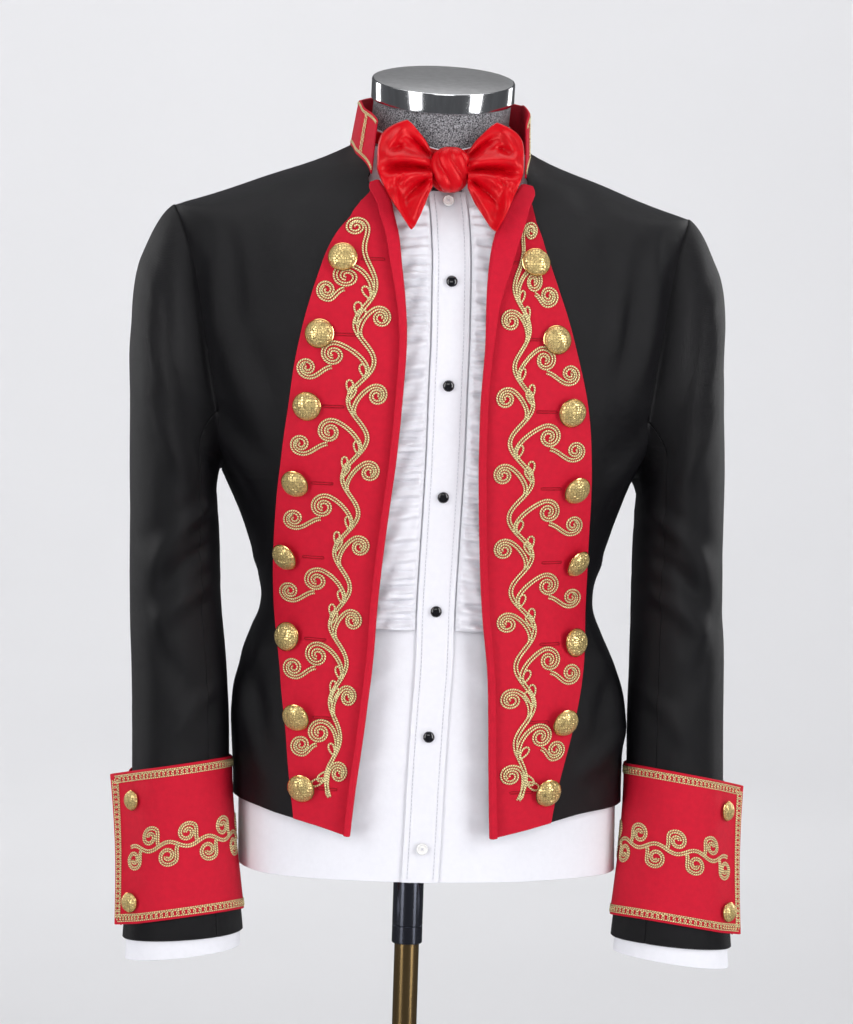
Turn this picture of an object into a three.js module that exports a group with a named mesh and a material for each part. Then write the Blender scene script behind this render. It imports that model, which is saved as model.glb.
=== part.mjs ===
// A mess jacket worn open over a ruffled dress shirt and a bow tie, on a limbless dress form with its stand.
// Millimetres, +Z up. The wearer faces -Y and the wearer's left is +X. The origin is the centre of the
// stand's underside. Every cloth piece is a thin wall laid on one smooth body shape, in layers:
// form, shirt, jacket. The left side is modelled and the right side is its mirror image.
import * as THREE from "three";

// ---- Driving dimensions -----------------------------------------------------------------------------------

const SHOULDER_TIP = { x: 231, z: 1361 }; // where the shoulder seam meets the sleeve head
const UNDERARM_Z = 1125;
const SIDE_SEAM_ANGLE = 95; // degrees round from the centre front
const SEAM_GAP = 0.4;
const JACKET_WALL = 2.0;
const SHIRT_WALL = 1.2;
const FACING_WALL = 1.6; // plastrons, stand collar and gauntlet cuffs
const FACING_LIFT = 1; // clear space between a facing and the cloth under it
const FRONT_CORNER_Z = 812; // lowest point of the pointed fronts
const SHIRT_HEM_Z = 771;
const FORM_BOTTOM_Z = 782;
const NECK_RADIUS = 61.5;
const NECK_TOP = { y: -5, z: 1461, tilt: 12 }; // centre and forward tilt, in degrees, of the neck's top
const CAP = { radius: 64, height: 18 };
const POLE = { radius: 11.2, sleeveRadius: 13.8, sleeveBottom: 698, insertion: 50 };
const BASE = { radius: 180, height: 14, hubRadius: 30, hubHeight: 40 };
const BUTTON = { radius: 12.8, height: 9.4, shank: 3.4 };
const CUFF_BUTTON = { radius: 9, height: 7, shank: 2.6 };
const STUD = { radius: 5.2, height: 3.6, shank: 2.4 };
const BOW_CENTRE = { y: -83.7, z: 1400, lean: 12 }; // its low corners lie further out by the lean

// ---- Tables: a row for each section -----------------------------------------------------------------------

function table(columns, rows) {
  const names = columns.split(" ");
  return rows.map((row) => Object.fromEntries(names.map((name, i) => [name, row[i]])));
}

// A smooth curve through one column of a table, that never overshoots its rows (monotone cubic).
function column(rows, key, value) {
  const x = rows.map((r) => r[key]);
  const y = rows.map((r) => r[value]);
  const last = x.length - 1;
  const slope = x.slice(1).map((_, i) => (y[i + 1] - y[i]) / (x[i + 1] - x[i]));
  const tangent = x.map((_, i) => {
    if (i === 0) return slope[0];
    if (i === last) return slope[last - 1];
    const [a, b] = [slope[i - 1], slope[i]];
    return a * b <= 0 ? 0 : (2 * a * b) / (a + b);
  });
  return (at) => {
    if (at <= x[0]) return y[0];
    if (at >= x[last]) return y[last];
    const i = x.findIndex((_, k) => at <= x[k + 1]);
    const width = x[i + 1] - x[i];
    const t = (at - x[i]) / width;
    const [t2, t3] = [t * t, t * t * t];
    return (
      (2 * t3 - 3 * t2 + 1) * y[i] +
      (t3 - 2 * t2 + t) * width * tangent[i] +
      (3 * t2 - 2 * t3) * y[i + 1] +
      (t3 - t2) * width * tangent[i + 1]
    );
  };
}

function columns(rows, key) {
  const values = Object.keys(rows[0]).filter((name) => name !== key);
  return Object.fromEntries(values.map((name) => [name, column(rows, key, name)]));
}

// Level sections through the jacket's outer surface.
const jacket = columns(
  table("height halfWidth front back squareness", [
    [750, 178, 116, 122, 2.2],
    [841, 176, 114, 122, 2.2],
    [900, 176, 110, 117, 2.2],
    [958, 169, 106, 110, 2.2],
    [1013, 150, 102, 102, 2.2],
    [1070, 163, 109, 107, 2.25],
    [1118, 183, 117, 114, 2.3],
    [1156, 200, 123, 120, 2.35],
    [1200, 212, 127, 125, 2.4],
    [1243, 219, 126, 127, 2.4],
    [1285, 226, 119, 126, 2.3],
    [1316, 230, 111, 122, 2.2],
    [1340, 230.5, 102, 115, 2.1],
    [1361, 231, 94, 106, 2.0],
    [1366.5, 210, 91.5, 103.5, 2.0],
    [1387.5, 155, 83, 94, 2.0],
    [1406, 104, 78, 87.5, 2.0],
    [1416, 83, 75, 84, 2.0],
    [1429, 60, 70, 76, 2.0],
    [1445, 40, 60, 60, 2.0],
  ]),
  "height",
);

const formSide = column(
  table("height halfWidth", [
    [750, 163],
    [841, 163],
    [900, 160],
    [958, 152],
    [1013, 133],
    [1070, 146],
    [1118, 166],
    [1156, 174],
    [1243, 181],
    [1300, 187],
    [1364, 200],
  ]),
  "height",
  "halfWidth",
);

const shirtSide = column(
  table("height halfWidth", [
    [750, 171],
    [841, 171],
    [900, 168],
    [958, 160],
    [1013, 141],
    [1070, 154],
    [1118, 173],
    [1156, 184],
    [1243, 200],
    [1300, 208],
    [1364, 218],
  ]),
  "height",
  "halfWidth",
);

// Half the width of the jacket's open front, and of the outer edge of the red plastron.
const frontOpening = column(
  table("height x", [
    [812, 65],
    [840, 63],
    [893, 58.5],
    [945, 54.5],
    [998, 49.7],
    [1050, 45.8],
    [1103, 41.9],
    [1155, 38.4],
    [1208, 36.8],
    [1260, 37.2],
    [1287, 38.2],
    [1313, 40.5],
    [1339, 44],
    [1360, 53],
    [1378, 67],
    [1386, 71],
  ]),
  "height",
  "x",
);

const plastronOutline = column(
  table("height x", [
    [822, 112],
    [840, 114.5],
    [893, 124],
    [945, 132.5],
    [998, 137],
    [1050, 138.5],
    [1103, 138],
    [1155, 135],
    [1208, 128.5],
    [1260, 117.5],
    [1313, 101],
    [1339, 91],
    [1360, 80],
    [1378, 71],
  ]),
  "height",
  "x",
);

const frontHem = column(
  table("x height", [
    [60, FRONT_CORNER_Z],
    [100, 822],
    [125, 827.5],
    [150, 832],
    [180, 834],
  ]),
  "x",
  "height",
);

// How far the armhole's edge lies before and behind the side line, in degrees round the body.
const armhole = columns(
  table("height front back", [
    [UNDERARM_Z, 90 - SIDE_SEAM_ANGLE, SIDE_SEAM_ANGLE - 90],
    [1130, 7, 13],
    [1140, 12, 16],
    [1156, 15.5, 18],
    [1195, 18, 19.5],
    [1243, 17, 18.5],
    [1285, 13, 15],
    [1316, 8.5, 10.5],
    [1345, 3.5, 4.5],
    [SHOULDER_TIP.z, 0, 0],
  ]),
  "height",
);

// The line, in plan, that the stand collar is sewn on, from the centre back to its front end.
const collarPlan = columns(
  table("along x y", [
    [0, 0, 77],
    [0.2, 37, 69],
    [0.4, 63, 47],
    [0.58, 77, 8],
    [0.8, 77, -35],
    [1, 68, -69],
  ]),
  "along",
);
const collarHeight = column(
  table("along height", [
    [0, 45],
    [0.4, 41],
    [0.6, 38],
    [0.8, 38],
    [1, 41],
  ]),
  "along",
  "height",
);

// Sections through the sleeve: its outer and inner points in the front view, and its front and back in depth.
const sleeve = columns(
  table("along outerX outerZ innerX innerZ front back", [
    [0.02, 240, 1360, 189, 1120, -64, 67],
    [0.05, 251, 1343, 190.5, 1113, -71, 74],
    [0.1, 260, 1308, 190.5, 1107, -76, 78],
    [0.16, 266, 1262, 190, 1100, -77, 79],
    [0.24, 268.5, 1200, 189, 1090, -76, 78],
    [0.32, 268.5, 1140, 188, 1075, -73, 75],
    [0.4, 268, 1080, 187, 1048, -70, 70],
    [0.48, 268, 1020, 186, 1010, -67, 63],
    [0.57, 268, 960, 184, 958, -67, 54],
    [0.66, 267.5, 900, 182, 901, -68, 44],
    [0.74, 267.5, 850, 180, 853, -69, 34],
    [0.82, 269, 800, 177, 805, -70, 25],
    [0.9, 271.5, 755, 172, 762, -71, 16],
    [0.97, 275.5, 706, 166.5, 715, -72, 7],
    [1, 277, 676, 164.5, 688, -72, 3],
  ]),
  "along",
);
const SLEEVE_HEM = 0.97; // along the sleeve
const TOP_SLEEVE_ARC = [-117, 122]; // degrees round the sleeve, 0 at its outer line and 90 at its front
const GAUNTLET = {
  topOuter: 853,
  topInner: 868,
  bottomOuter: 716,
  bottomInner: 733,
  frontRise: 7,
  leave: 40,
  lift: 1.2,
};
const gauntletFlap = column(
  table("height length", [
    [0, 25],
    [0.5, 33],
    [1, 46],
  ]),
  "height",
  "length",
);
const FLAP_DROP = { bottom: 4, top: 10 }; // how far the flap's end hangs lower than where it leaves the sleeve
const SHIRT_CUFF = { bottomOuter: 687, bottomInner: 701, top: 765 };

// The eight front buttons of a side: how far each droops on its shank, in degrees, and how far its shank
// stands off the plastron's smooth shape.
const frontButtons = table("x z droop seat", [
  [84, 1320, 0, 0.15],
  [103, 1254.5, 0, -0.3],
  [115, 1192, 4, 0],
  [122, 1124, 10, 0.8],
  [126.5, 1057, 16, 1.1],
  [125, 983, 18, 1.25],
  [116.5, 915, 26, 2.4],
  [107, 853, 18, 1.3],
]);
const STUD_HEIGHTS = [1302, 1212, 1114, 1011, 900];
const PEARL_HEIGHTS = [1377, 801];

// Half the bow, from the knot out to its end fold: how far the loop spreads and how wide it is there.
const bow = columns(
  table("along spread top bottom", [
    [0, 16.9, 15, -14],
    [0.25, 26, 31, -28],
    [0.55, 39, 39, -42],
    [0.8, 52, 42, -50],
    [1, 64, 42, -51],
  ]),
  "along",
);
const BOW_TOP_CORNER = 0.36; // how much of the spread the fold loses at its top corner
const BOW_LOW_CORNER = 0.4; // and at its low corner
const BOW_LOOP_DEPTH = 13;
const BOW_SWEEP = 21; // how far the low ends are pushed forward by the plastrons' rolled edges

// ---- Body shape -------------------------------------------------------------------------------------------

const vector = (x, y, z) => new THREE.Vector3(x, y, z);
const radians = THREE.MathUtils.degToRad;
const degrees = THREE.MathUtils.radToDeg;
const mix = THREE.MathUtils.lerp;

// A layer of clothing is the jacket's shape, lowered and drawn in.
const jacketLayer = { drop: 0, front: 0, back: 0, halfWidth: (z) => jacket.halfWidth(z) };
const SHIRT_DROP = 3.9;
const FORM_DROP = 13;
const shirtLayer = {
  drop: SHIRT_DROP,
  front: 14,
  back: 9,
  halfWidth: (z) => Math.min(jacket.halfWidth(z + SHIRT_DROP) - 0.3, shirtSide(z)),
};
const formLayer = {
  drop: FORM_DROP,
  front: 21,
  back: 16,
  halfWidth: (z) => Math.min(jacket.halfWidth(z + FORM_DROP) - 0.6, formSide(z)),
};

function section(layer, z) {
  return {
    halfWidth: layer.halfWidth(z),
    front: jacket.front(z + layer.drop) - layer.front,
    back: jacket.back(z + layer.drop) - layer.back,
    power: jacket.squareness(z + layer.drop),
  };
}

// The point at height z and angle round the body, 0 at the centre front and 180 at the centre back.
function surface(layer, z, angle) {
  const s = section(layer, z);
  const [sine, cosine] = [Math.sin(radians(angle)), Math.cos(radians(angle))];
  const depth = cosine > 0 ? s.front : s.back;
  const reach =
    (Math.abs(sine / s.halfWidth) ** s.power + Math.abs(cosine / depth) ** s.power) ** (-1 / s.power);
  return vector(reach * sine, -reach * cosine, z);
}

// The angle that lies a share of the way between two others. Steps are even round a stretched circle, so
// that they come closer together where a wide, shallow section turns at the sides.
function angleBetween(layer, z, from, to, share) {
  const s = section(layer, z);
  const even = (angle) => {
    const [sine, cosine] = [Math.sin(radians(angle)), Math.cos(radians(angle))];
    return Math.atan2(sine / s.halfWidth, cosine / (cosine > 0 ? s.front : s.back));
  };
  const at = mix(even(from), even(to), share);
  const depth = Math.cos(at) > 0 ? s.front : s.back;
  const angle = degrees(Math.atan2(s.halfWidth * Math.sin(at), depth * Math.cos(at)));
  return angle < -1e-9 ? angle + 360 : angle;
}

function surfaceNormal(layer, z, angle) {
  const round = surface(layer, z, angle + 0.5).sub(surface(layer, z, angle - 0.5));
  const up = surface(layer, z + 1, angle).sub(surface(layer, z - 1, angle));
  return round.cross(up).normalize();
}

function raised(layer, z, angle, lift) {
  return surface(layer, z, angle).addScaledVector(surfaceNormal(layer, z, angle), lift);
}

// The angle round the front at which the surface lies x to the side.
function angleAt(layer, z, x) {
  const s = section(layer, z);
  const share = Math.min(1, x / s.halfWidth);
  return degrees(Math.atan2(x, s.front * (1 - share ** s.power) ** (1 / s.power)));
}

// The height at which the shoulders pass under a point of the plan.
function heightUnder(layer, x, y) {
  let [low, high] = [SHOULDER_TIP.z, 1445];
  for (let i = 0; i < 40; i++) {
    const z = (low + high) / 2;
    const s = section(layer, z);
    const depth = y < 0 ? s.front : s.back;
    const inside = Math.abs(x / s.halfWidth) ** s.power + Math.abs(y / depth) ** s.power < 1;
    [low, high] = inside ? [z, high] : [low, z];
  }
  return low;
}

// The dressed form leans and turns a little on its pole: every level is carried sideways, and the front of
// a level further, the shirt's and the jacket's each in its own way.
const lean = column(
  table("height x", [
    [690, 17],
    [870, 13.5],
    [950, 11.5],
    [1012, 8.5],
    [1128, 6],
    [1250, 2.5],
    [1361, 3],
    [1420, 5.5],
    [1470, 8.7],
  ]),
  "height",
  "x",
);
const drift = columns(
  table("height shirt inner outer", [
    [771, -14.5, -17, -14.5],
    [820, -12, -15.5, -12],
    [853, -10.5, -14, -10.6],
    [915, -6.5, -10, -5.2],
    [983, -1, -6.5, -2.5],
    [1050, 2, -5.7, -2.6],
    [1103, 4, -4.3, -1.7],
    [1155, 6, -1.8, -0.3],
    [1192, 7.4, 0.5, 0.6],
    [1254, 9.6, 4.5, -1.6],
    [1320, 9.9, 2.9, -3.4],
    [1360, 8, 5, 0],
    [1378, 6, 7, 2],
    [1400, 4.7, 7, 3],
  ]),
  "height",
);

function posed(p, layer) {
  const { smoothstep } = THREE.MathUtils;
  const share = smoothstep(-p.y, 10, 85) * (1 - smoothstep(Math.abs(p.x), 130, 190));
  const front = mix(drift.inner(p.z), drift.outer(p.z), smoothstep(Math.abs(p.x), 60, 95));
  const sideways = layer === "jacket" ? front : drift.shirt(p.z);
  return vector(p.x + lean(p.z) + sideways * share, p.y, p.z);
}

// ---- Solids -----------------------------------------------------------------------------------------------

const materials = {
  black: { color: 0x141416, roughness: 0.75, metalness: 0 },
  red: { color: 0xb5121f, roughness: 0.7, metalness: 0 },
  white: { color: 0xf1f1f5, roughness: 0.6, metalness: 0 },
  satin: { color: 0xd10a14, roughness: 0.3, metalness: 0 },
  gold: { color: 0xd0a64a, roughness: 0.3, metalness: 1 },
  jet: { color: 0x08080a, roughness: 0.15, metalness: 0 },
  pearl: { color: 0xf2f0ec, roughness: 0.3, metalness: 0 },
  heather: { color: 0x77787c, roughness: 0.9, metalness: 0 },
  chrome: { color: 0xc8cacc, roughness: 0.12, metalness: 1 },
  blackened: { color: 0x30323a, roughness: 0.25, metalness: 1 },
  bronze: { color: 0x4a3a22, roughness: 0.3, metalness: 1 },
};

const part = new THREE.Group();

function add(name, material, geometry) {
  const mesh = new THREE.Mesh(geometry, new THREE.MeshStandardMaterial(materials[material]));
  mesh.name = name;
  part.add(mesh);
  return mesh;
}

function grid(rows, cols, point) {
  return Array.from({ length: rows + 1 }, (_, i) =>
    Array.from({ length: cols + 1 }, (_, j) => point(i / rows, j / cols)),
  );
}

function mirrored(points) {
  return points.map((row) => row.map((p) => vector(-p.x, p.y, p.z)));
}

function closedGeometry(points, triangles) {
  const corner = (k) => points[k];
  const volume = triangles.reduce((sum, [a, b, c]) => {
    return sum + corner(a).dot(corner(b).clone().cross(corner(c)));
  }, 0);
  const outward = volume < 0 ? triangles.map(([a, b, c]) => [a, c, b]) : triangles;
  return new THREE.BufferGeometry().setFromPoints(points).setIndex(outward.flat());
}

// A cloth wall: a net of points in the middle of the cloth, thickened along its own normals.
// A ring joins its last column to its first.
function wall(net, thickness, ring = false) {
  const [rows, cols] = [net.length, net[0].length];
  const column = (j) => (ring ? (j + cols) % cols : THREE.MathUtils.clamp(j, 0, cols - 1));
  const row = (i) => THREE.MathUtils.clamp(i, 0, rows - 1);
  const offset = (i, j, side) => {
    const up = net[row(i + 1)][j].clone().sub(net[row(i - 1)][j]);
    const across = net[i][column(j + 1)].clone().sub(net[i][column(j - 1)]);
    return net[i][j].clone().addScaledVector(across.cross(up).normalize(), (side * thickness) / 2);
  };
  const points = [];
  for (const side of [1, -1])
    for (let i = 0; i < rows; i++) for (let j = 0; j < cols; j++) points.push(offset(i, j, side));
  const index = (i, j, side) => (side > 0 ? 0 : rows * cols) + i * cols + column(j);
  const triangles = [];
  const quad = (a, b, c, d) => triangles.push([a, b, c], [a, c, d]);
  const lastCol = ring ? cols : cols - 1;
  for (let i = 0; i < rows - 1; i++)
    for (let j = 0; j < lastCol; j++) {
      quad(index(i, j, 1), index(i, j + 1, 1), index(i + 1, j + 1, 1), index(i + 1, j, 1));
      quad(index(i, j, -1), index(i + 1, j, -1), index(i + 1, j + 1, -1), index(i, j + 1, -1));
    }
  for (let j = 0; j < lastCol; j++) {
    const top = rows - 1;
    quad(index(0, j, -1), index(0, j + 1, -1), index(0, j + 1, 1), index(0, j, 1));
    quad(index(top, j, 1), index(top, j + 1, 1), index(top, j + 1, -1), index(top, j, -1));
  }
  if (!ring)
    for (let i = 0; i < rows - 1; i++) {
      const edge = cols - 1;
      quad(index(i, 0, 1), index(i + 1, 0, 1), index(i + 1, 0, -1), index(i, 0, -1));
      quad(index(i, edge, -1), index(i + 1, edge, -1), index(i + 1, edge, 1), index(i, edge, 1));
    }
  return closedGeometry(points, triangles);
}

// A solid through closed rings of points, with its first and last rings capped.
function loft(rings) {
  const sides = rings[0].length;
  const centre = (ring) => ring.reduce((sum, p) => sum.add(p), vector(0, 0, 0)).divideScalar(sides);
  const points = [...rings.flat(), centre(rings[0]), centre(rings.at(-1))];
  const [first, last] = [points.length - 2, points.length - 1];
  const triangles = [];
  for (let k = 0; k < sides; k++) {
    const next = (k + 1) % sides;
    for (let r = 0; r < rings.length - 1; r++) {
      const [a, b] = [r * sides, (r + 1) * sides];
      triangles.push([a + k, a + next, b + next], [a + k, b + next, b + k]);
    }
    const top = (rings.length - 1) * sides;
    triangles.push([first, next, k], [last, top + k, top + next]);
  }
  return closedGeometry(points, triangles);
}

function pair(name, material, net, thickness, ring = false) {
  add(`${name}_left`, material, wall(net, thickness, ring));
  add(`${name}_right`, material, wall(mirrored(net), thickness, ring));
}

// Moves a mesh with the figure: a button as it is, and cloth point by point.
function pose(mesh) {
  const layer = /^(jacket|plastron|stand_collar|button)/.test(mesh.name) ? "jacket" : "shirt";
  mesh.updateMatrix();
  if (mesh.geometry.type === "LatheGeometry") {
    mesh.position.copy(posed(mesh.position, layer));
    return;
  }
  const points = mesh.geometry.applyMatrix4(mesh.matrix).getAttribute("position");
  mesh.position.set(0, 0, 0);
  mesh.quaternion.identity();
  for (let i = 0; i < points.count; i++) {
    const p = posed(vector(0, 0, 0).fromBufferAttribute(points, i), layer);
    points.setXYZ(i, p.x, p.y, p.z);
  }
}

// ---- Dress form and stand ---------------------------------------------------------------------------------

function neckFrame(tilt, y, z) {
  const placed = new THREE.Object3D();
  placed.position.set(0, y, z);
  placed.rotation.x = radians(tilt);
  placed.updateMatrix();
  return placed.matrix;
}

function buildForm() {
  const SIDES = 24;
  const angles = Array.from({ length: SIDES }, (_, k) => (360 * k) / SIDES);
  const heights = [FORM_BOTTOM_Z, 900, 958, 1013, 1070, 1118, 1156, 1243, 1285, 1316, 1340];
  heights.push(1358, 1369, 1380, 1390, 1398);
  const torso = heights.map((z) =>
    angles.map((angle) => {
      const half = angleBetween(formLayer, z, 0, 180, Math.min(angle, 360 - angle) / 180);
      return surface(formLayer, z, angle <= 180 ? half : -half);
    }),
  );
  const neck = [0.13, 0.6, 1].map((share) => {
    const frame = neckFrame(NECK_TOP.tilt * share, NECK_TOP.y * share, mix(1401, NECK_TOP.z, share));
    return angles.map((angle) => {
      const [sine, cosine] = [Math.sin(radians(angle)), Math.cos(radians(angle))];
      return vector(NECK_RADIUS * sine, -NECK_RADIUS * cosine, 0).applyMatrix4(frame);
    });
  });
  add("form_torso", "heather", loft([...torso, ...neck]));

  const bevel = 1.5;
  const profile = [
    [0, 0],
    [CAP.radius, 0],
    [CAP.radius, CAP.height - bevel],
    [CAP.radius - bevel, CAP.height],
    [0, CAP.height],
  ];
  const cap = add("neck_cap", "chrome", turned(profile, 30));
  cap.position.set(0, NECK_TOP.y, NECK_TOP.z + SEAM_GAP);
  cap.rotation.x = Math.PI / 2 + radians(NECK_TOP.tilt);
}

// A lathe turns its profile, given as radius and height, round its own Y axis.
function turned(profile, sides) {
  return new THREE.LatheGeometry(
    profile.map(([radius, height]) => new THREE.Vector2(radius, height)),
    sides,
  );
}

function buildStand() {
  const upright = (name, material, profile, sides) => {
    add(name, material, turned(profile, sides)).rotation.x = Math.PI / 2;
  };
  const bore = POLE.radius + SEAM_GAP;
  const boreTop = POLE.sleeveBottom + POLE.insertion + SEAM_GAP;
  upright("pole_sleeve", "blackened", [
    [0, boreTop],
    [bore, boreTop],
    [bore, POLE.sleeveBottom],
    [POLE.sleeveRadius, POLE.sleeveBottom],
    [POLE.sleeveRadius, FORM_BOTTOM_Z - SEAM_GAP],
    [0, FORM_BOTTOM_Z - SEAM_GAP],
  ], 24);
  const hubTop = BASE.height + BASE.hubHeight;
  upright("pole_tube", "bronze", [
    [0, hubTop + SEAM_GAP],
    [POLE.radius, hubTop + SEAM_GAP],
    [POLE.radius, POLE.sleeveBottom + POLE.insertion],
    [0, POLE.sleeveBottom + POLE.insertion],
  ], 24);
  upright("stand_base", "chrome", [
    [0, 0],
    [BASE.radius, 0],
    [BASE.radius, BASE.height * 0.6],
    [BASE.radius * 0.96, BASE.height],
    [BASE.hubRadius, BASE.height + 2],
    [POLE.sleeveRadius + 4, hubTop - 6],
    [POLE.sleeveRadius + 2, hubTop],
    [0, hubTop],
  ], 30);
}

// ---- Shirt ------------------------------------------------------------------------------------------------

const PLACKET_HALF_WIDTH = 16;
const SHIRT_NECK_FRONT_Z = 1380;
// The line round the neck on which the shirt's collar stands, as an ellipse in plan.
const NECKLINE = { y: -3.1, halfWidth: 62.8, halfDepth: 64.8, opening: 1.8 };

function neckline(angle, out = 0) {
  const [sine, cosine] = [Math.sin(radians(angle)), Math.cos(radians(angle))];
  return vector((NECKLINE.halfWidth + out) * sine, NECKLINE.y - (NECKLINE.halfDepth + out) * cosine, 0);
}
const shirtNeckPlan = {
  x: (along) => neckline(180 - 180 * along, NECKLINE.opening).x,
  y: (along) => neckline(180 - 180 * along, NECKLINE.opening).y,
};

// The edge of an opening round the neck as an angle for each height, on one side of the shoulder ridge.
function neckEdge(layer, plan, from, to) {
  const samples = Array.from({ length: 41 }, (_, i) => {
    const along = mix(from, to, i / 40);
    const [x, y] = [plan.x(along), plan.y(along)];
    return { height: heightUnder(layer, x, y), angle: degrees(Math.atan2(x, -y)) };
  });
  samples.sort((a, b) => a.height - b.height);
  return { edge: column(samples, "height", "angle"), low: samples[0].height, high: samples.at(-1).height };
}

// Rows of heights, packed more closely where the panels are curved. Pieces that lie on each other share
// them, so that their facets follow each other.
const SHIRT_ROWS = [SHIRT_HEM_Z, 870, 960, 990, 1013, 1036, 1066, 1102, UNDERARM_Z, 1165, 1205];
SHIRT_ROWS.push(1245, 1285, 1320, 1345, 1361, 1380);
const JACKET_ROWS = [832, 868, 904, 936, 962, 984, 1000, 1013, 1027, 1044, 1068, 1096, UNDERARM_Z, 1145];
JACKET_ROWS.push(1175, 1209, 1243, 1280, 1312, 1340, 1358, 1368, 1380);

function armholeEdge(z, side, ease = 0) {
  if (z <= UNDERARM_Z) return SIDE_SEAM_ANGLE;
  const reach = side < 0 ? armhole.front(z) : armhole.back(z);
  return 90 + side * (reach + ease);
}

// A panel in rows of equal height, each row from one edge's angle to the other's.
function panel(layer, heights, cols, fromEdge, toEdge, lift, lower = () => 0) {
  return heights.map((height) => {
    const from = fromEdge(height);
    const to = toEdge(height);
    return Array.from({ length: cols + 1 }, (_, j) => {
      const angle = angleBetween(layer, height, from, to, j / cols);
      return raised(layer, height + hemShift(layer, height, angle, lower), angle, lift);
    });
  });
}

// The rows over a hem take up its shape, which dies out upwards.
const HEM_REACH = 130;
function hemShift(layer, height, angle, lower) {
  return lower(surface(layer, height, angle)) * Math.max(0, 1 - (height - JACKET_ROWS[0]) / HEM_REACH);
}

const frontDrop = (p) => frontHem(Math.abs(p.x)) - JACKET_ROWS[0];

const seamAngle = (layer, z) => degrees(SEAM_GAP / section(layer, z).halfWidth);

function buildShirt() {
  const lift = -SHIRT_WALL / 2;
  const front = neckEdge(shirtLayer, shirtNeckPlan, 0.5, 1);
  const back = neckEdge(shirtLayer, shirtNeckPlan, 0, 0.5);
  const top = front.high - 1;
  const frontHeights = [...SHIRT_ROWS, 1394, 1403, 1410, 1416, top];
  const buttonEdge = (z) => {
    const placket = angleAt(shirtLayer, z, PLACKET_HALF_WIDTH - 2);
    return z > front.low ? Math.max(placket, front.edge(z) + 1) : placket;
  };
  const outer = (z) => armholeEdge(z, -1, 1.5) - seamAngle(shirtLayer, z);
  pair("shirt_front", "white", panel(shirtLayer, frontHeights, 5, buttonEdge, outer, lift), SHIRT_WALL);

  const backHeights = [...SHIRT_ROWS, 1396, 1411];
  const half = (z) => armholeEdge(z, 1, 1.5) + seamAngle(shirtLayer, z);
  const leftBack = backHeights.map((z) =>
    Array.from({ length: 7 }, (_, j) =>
      raised(shirtLayer, z, angleBetween(shirtLayer, z, half(z), 180, j / 6), lift),
    ),
  );
  const wholeBack = leftBack.map((row) => [
    ...row,
    ...row.slice(0, -1).reverse().map((p) => vector(-p.x, p.y, p.z)),
  ]);
  add("shirt_back", "white", wall(wholeBack, SHIRT_WALL));

  const placketRows = SHIRT_ROWS.filter((z) => z <= SHIRT_NECK_FRONT_Z);
  const placket = grid(placketRows.length - 1, 4, (v, u) => {
    const z = placketRows[Math.round(v * (placketRows.length - 1))];
    const x = mix(-PLACKET_HALF_WIDTH, PLACKET_HALF_WIDTH, u);
    const p = raised(shirtLayer, z, angleAt(shirtLayer, z, Math.abs(x)), FACING_LIFT + SHIRT_WALL / 2);
    return vector(Math.sign(x) * p.x, p.y, p.z);
  });
  add("shirt_placket", "white", wall(placket, SHIRT_WALL));
}

// Each bib ruffle is one gathered strip: sewn flat beside the placket, its free edge rising in waves.
const RUFFLE = { inner: 18, outer: 62, low: 994, high: 1366, waves: 21, lift: 1.5, swell: 4.2 };

function buildRuffles() {
  const stepsPerWave = 3;
  const net = grid(RUFFLE.waves * stepsPerWave, 2, (v, u) => {
    const z = mix(RUFFLE.low, RUFFLE.high, v);
    const x = mix(RUFFLE.inner, RUFFLE.outer, u);
    const wave = 0.5 + 0.5 * Math.sin(2 * Math.PI * (RUFFLE.waves * v + 0.35 * Math.sin(9 * v) + 0.4 * u));
    const swell = RUFFLE.swell * wave * Math.sin(Math.PI * Math.min(1, 0.12 + 0.75 * u));
    const angle = angleAt(shirtLayer, z, x);
    return raised(shirtLayer, z, angle, RUFFLE.lift + swell);
  });
  pair("shirt_ruffle", "white", net, SHIRT_WALL);
}

const neckbandTop = column(
  table("angle height", [
    [0, 1415],
    [45, 1427],
    [90, 1438],
    [135, 1446],
    [180, 1450],
  ]),
  "angle",
  "height",
);

// A band round the neck, of which each angle runs between two heights.
function neckband(name, material, rows, low, high, out, thickness) {
  const SIDES = 24;
  const ring = grid(rows, SIDES, (v, u) => {
    const angle = 360 * u;
    const side = Math.min(angle, 360 - angle);
    return neckline(angle, out).setZ(mix(low(side), high(side), v));
  });
  add(name, material, wall(ring.map((row) => row.slice(0, -1)), thickness, true));
}

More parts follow.
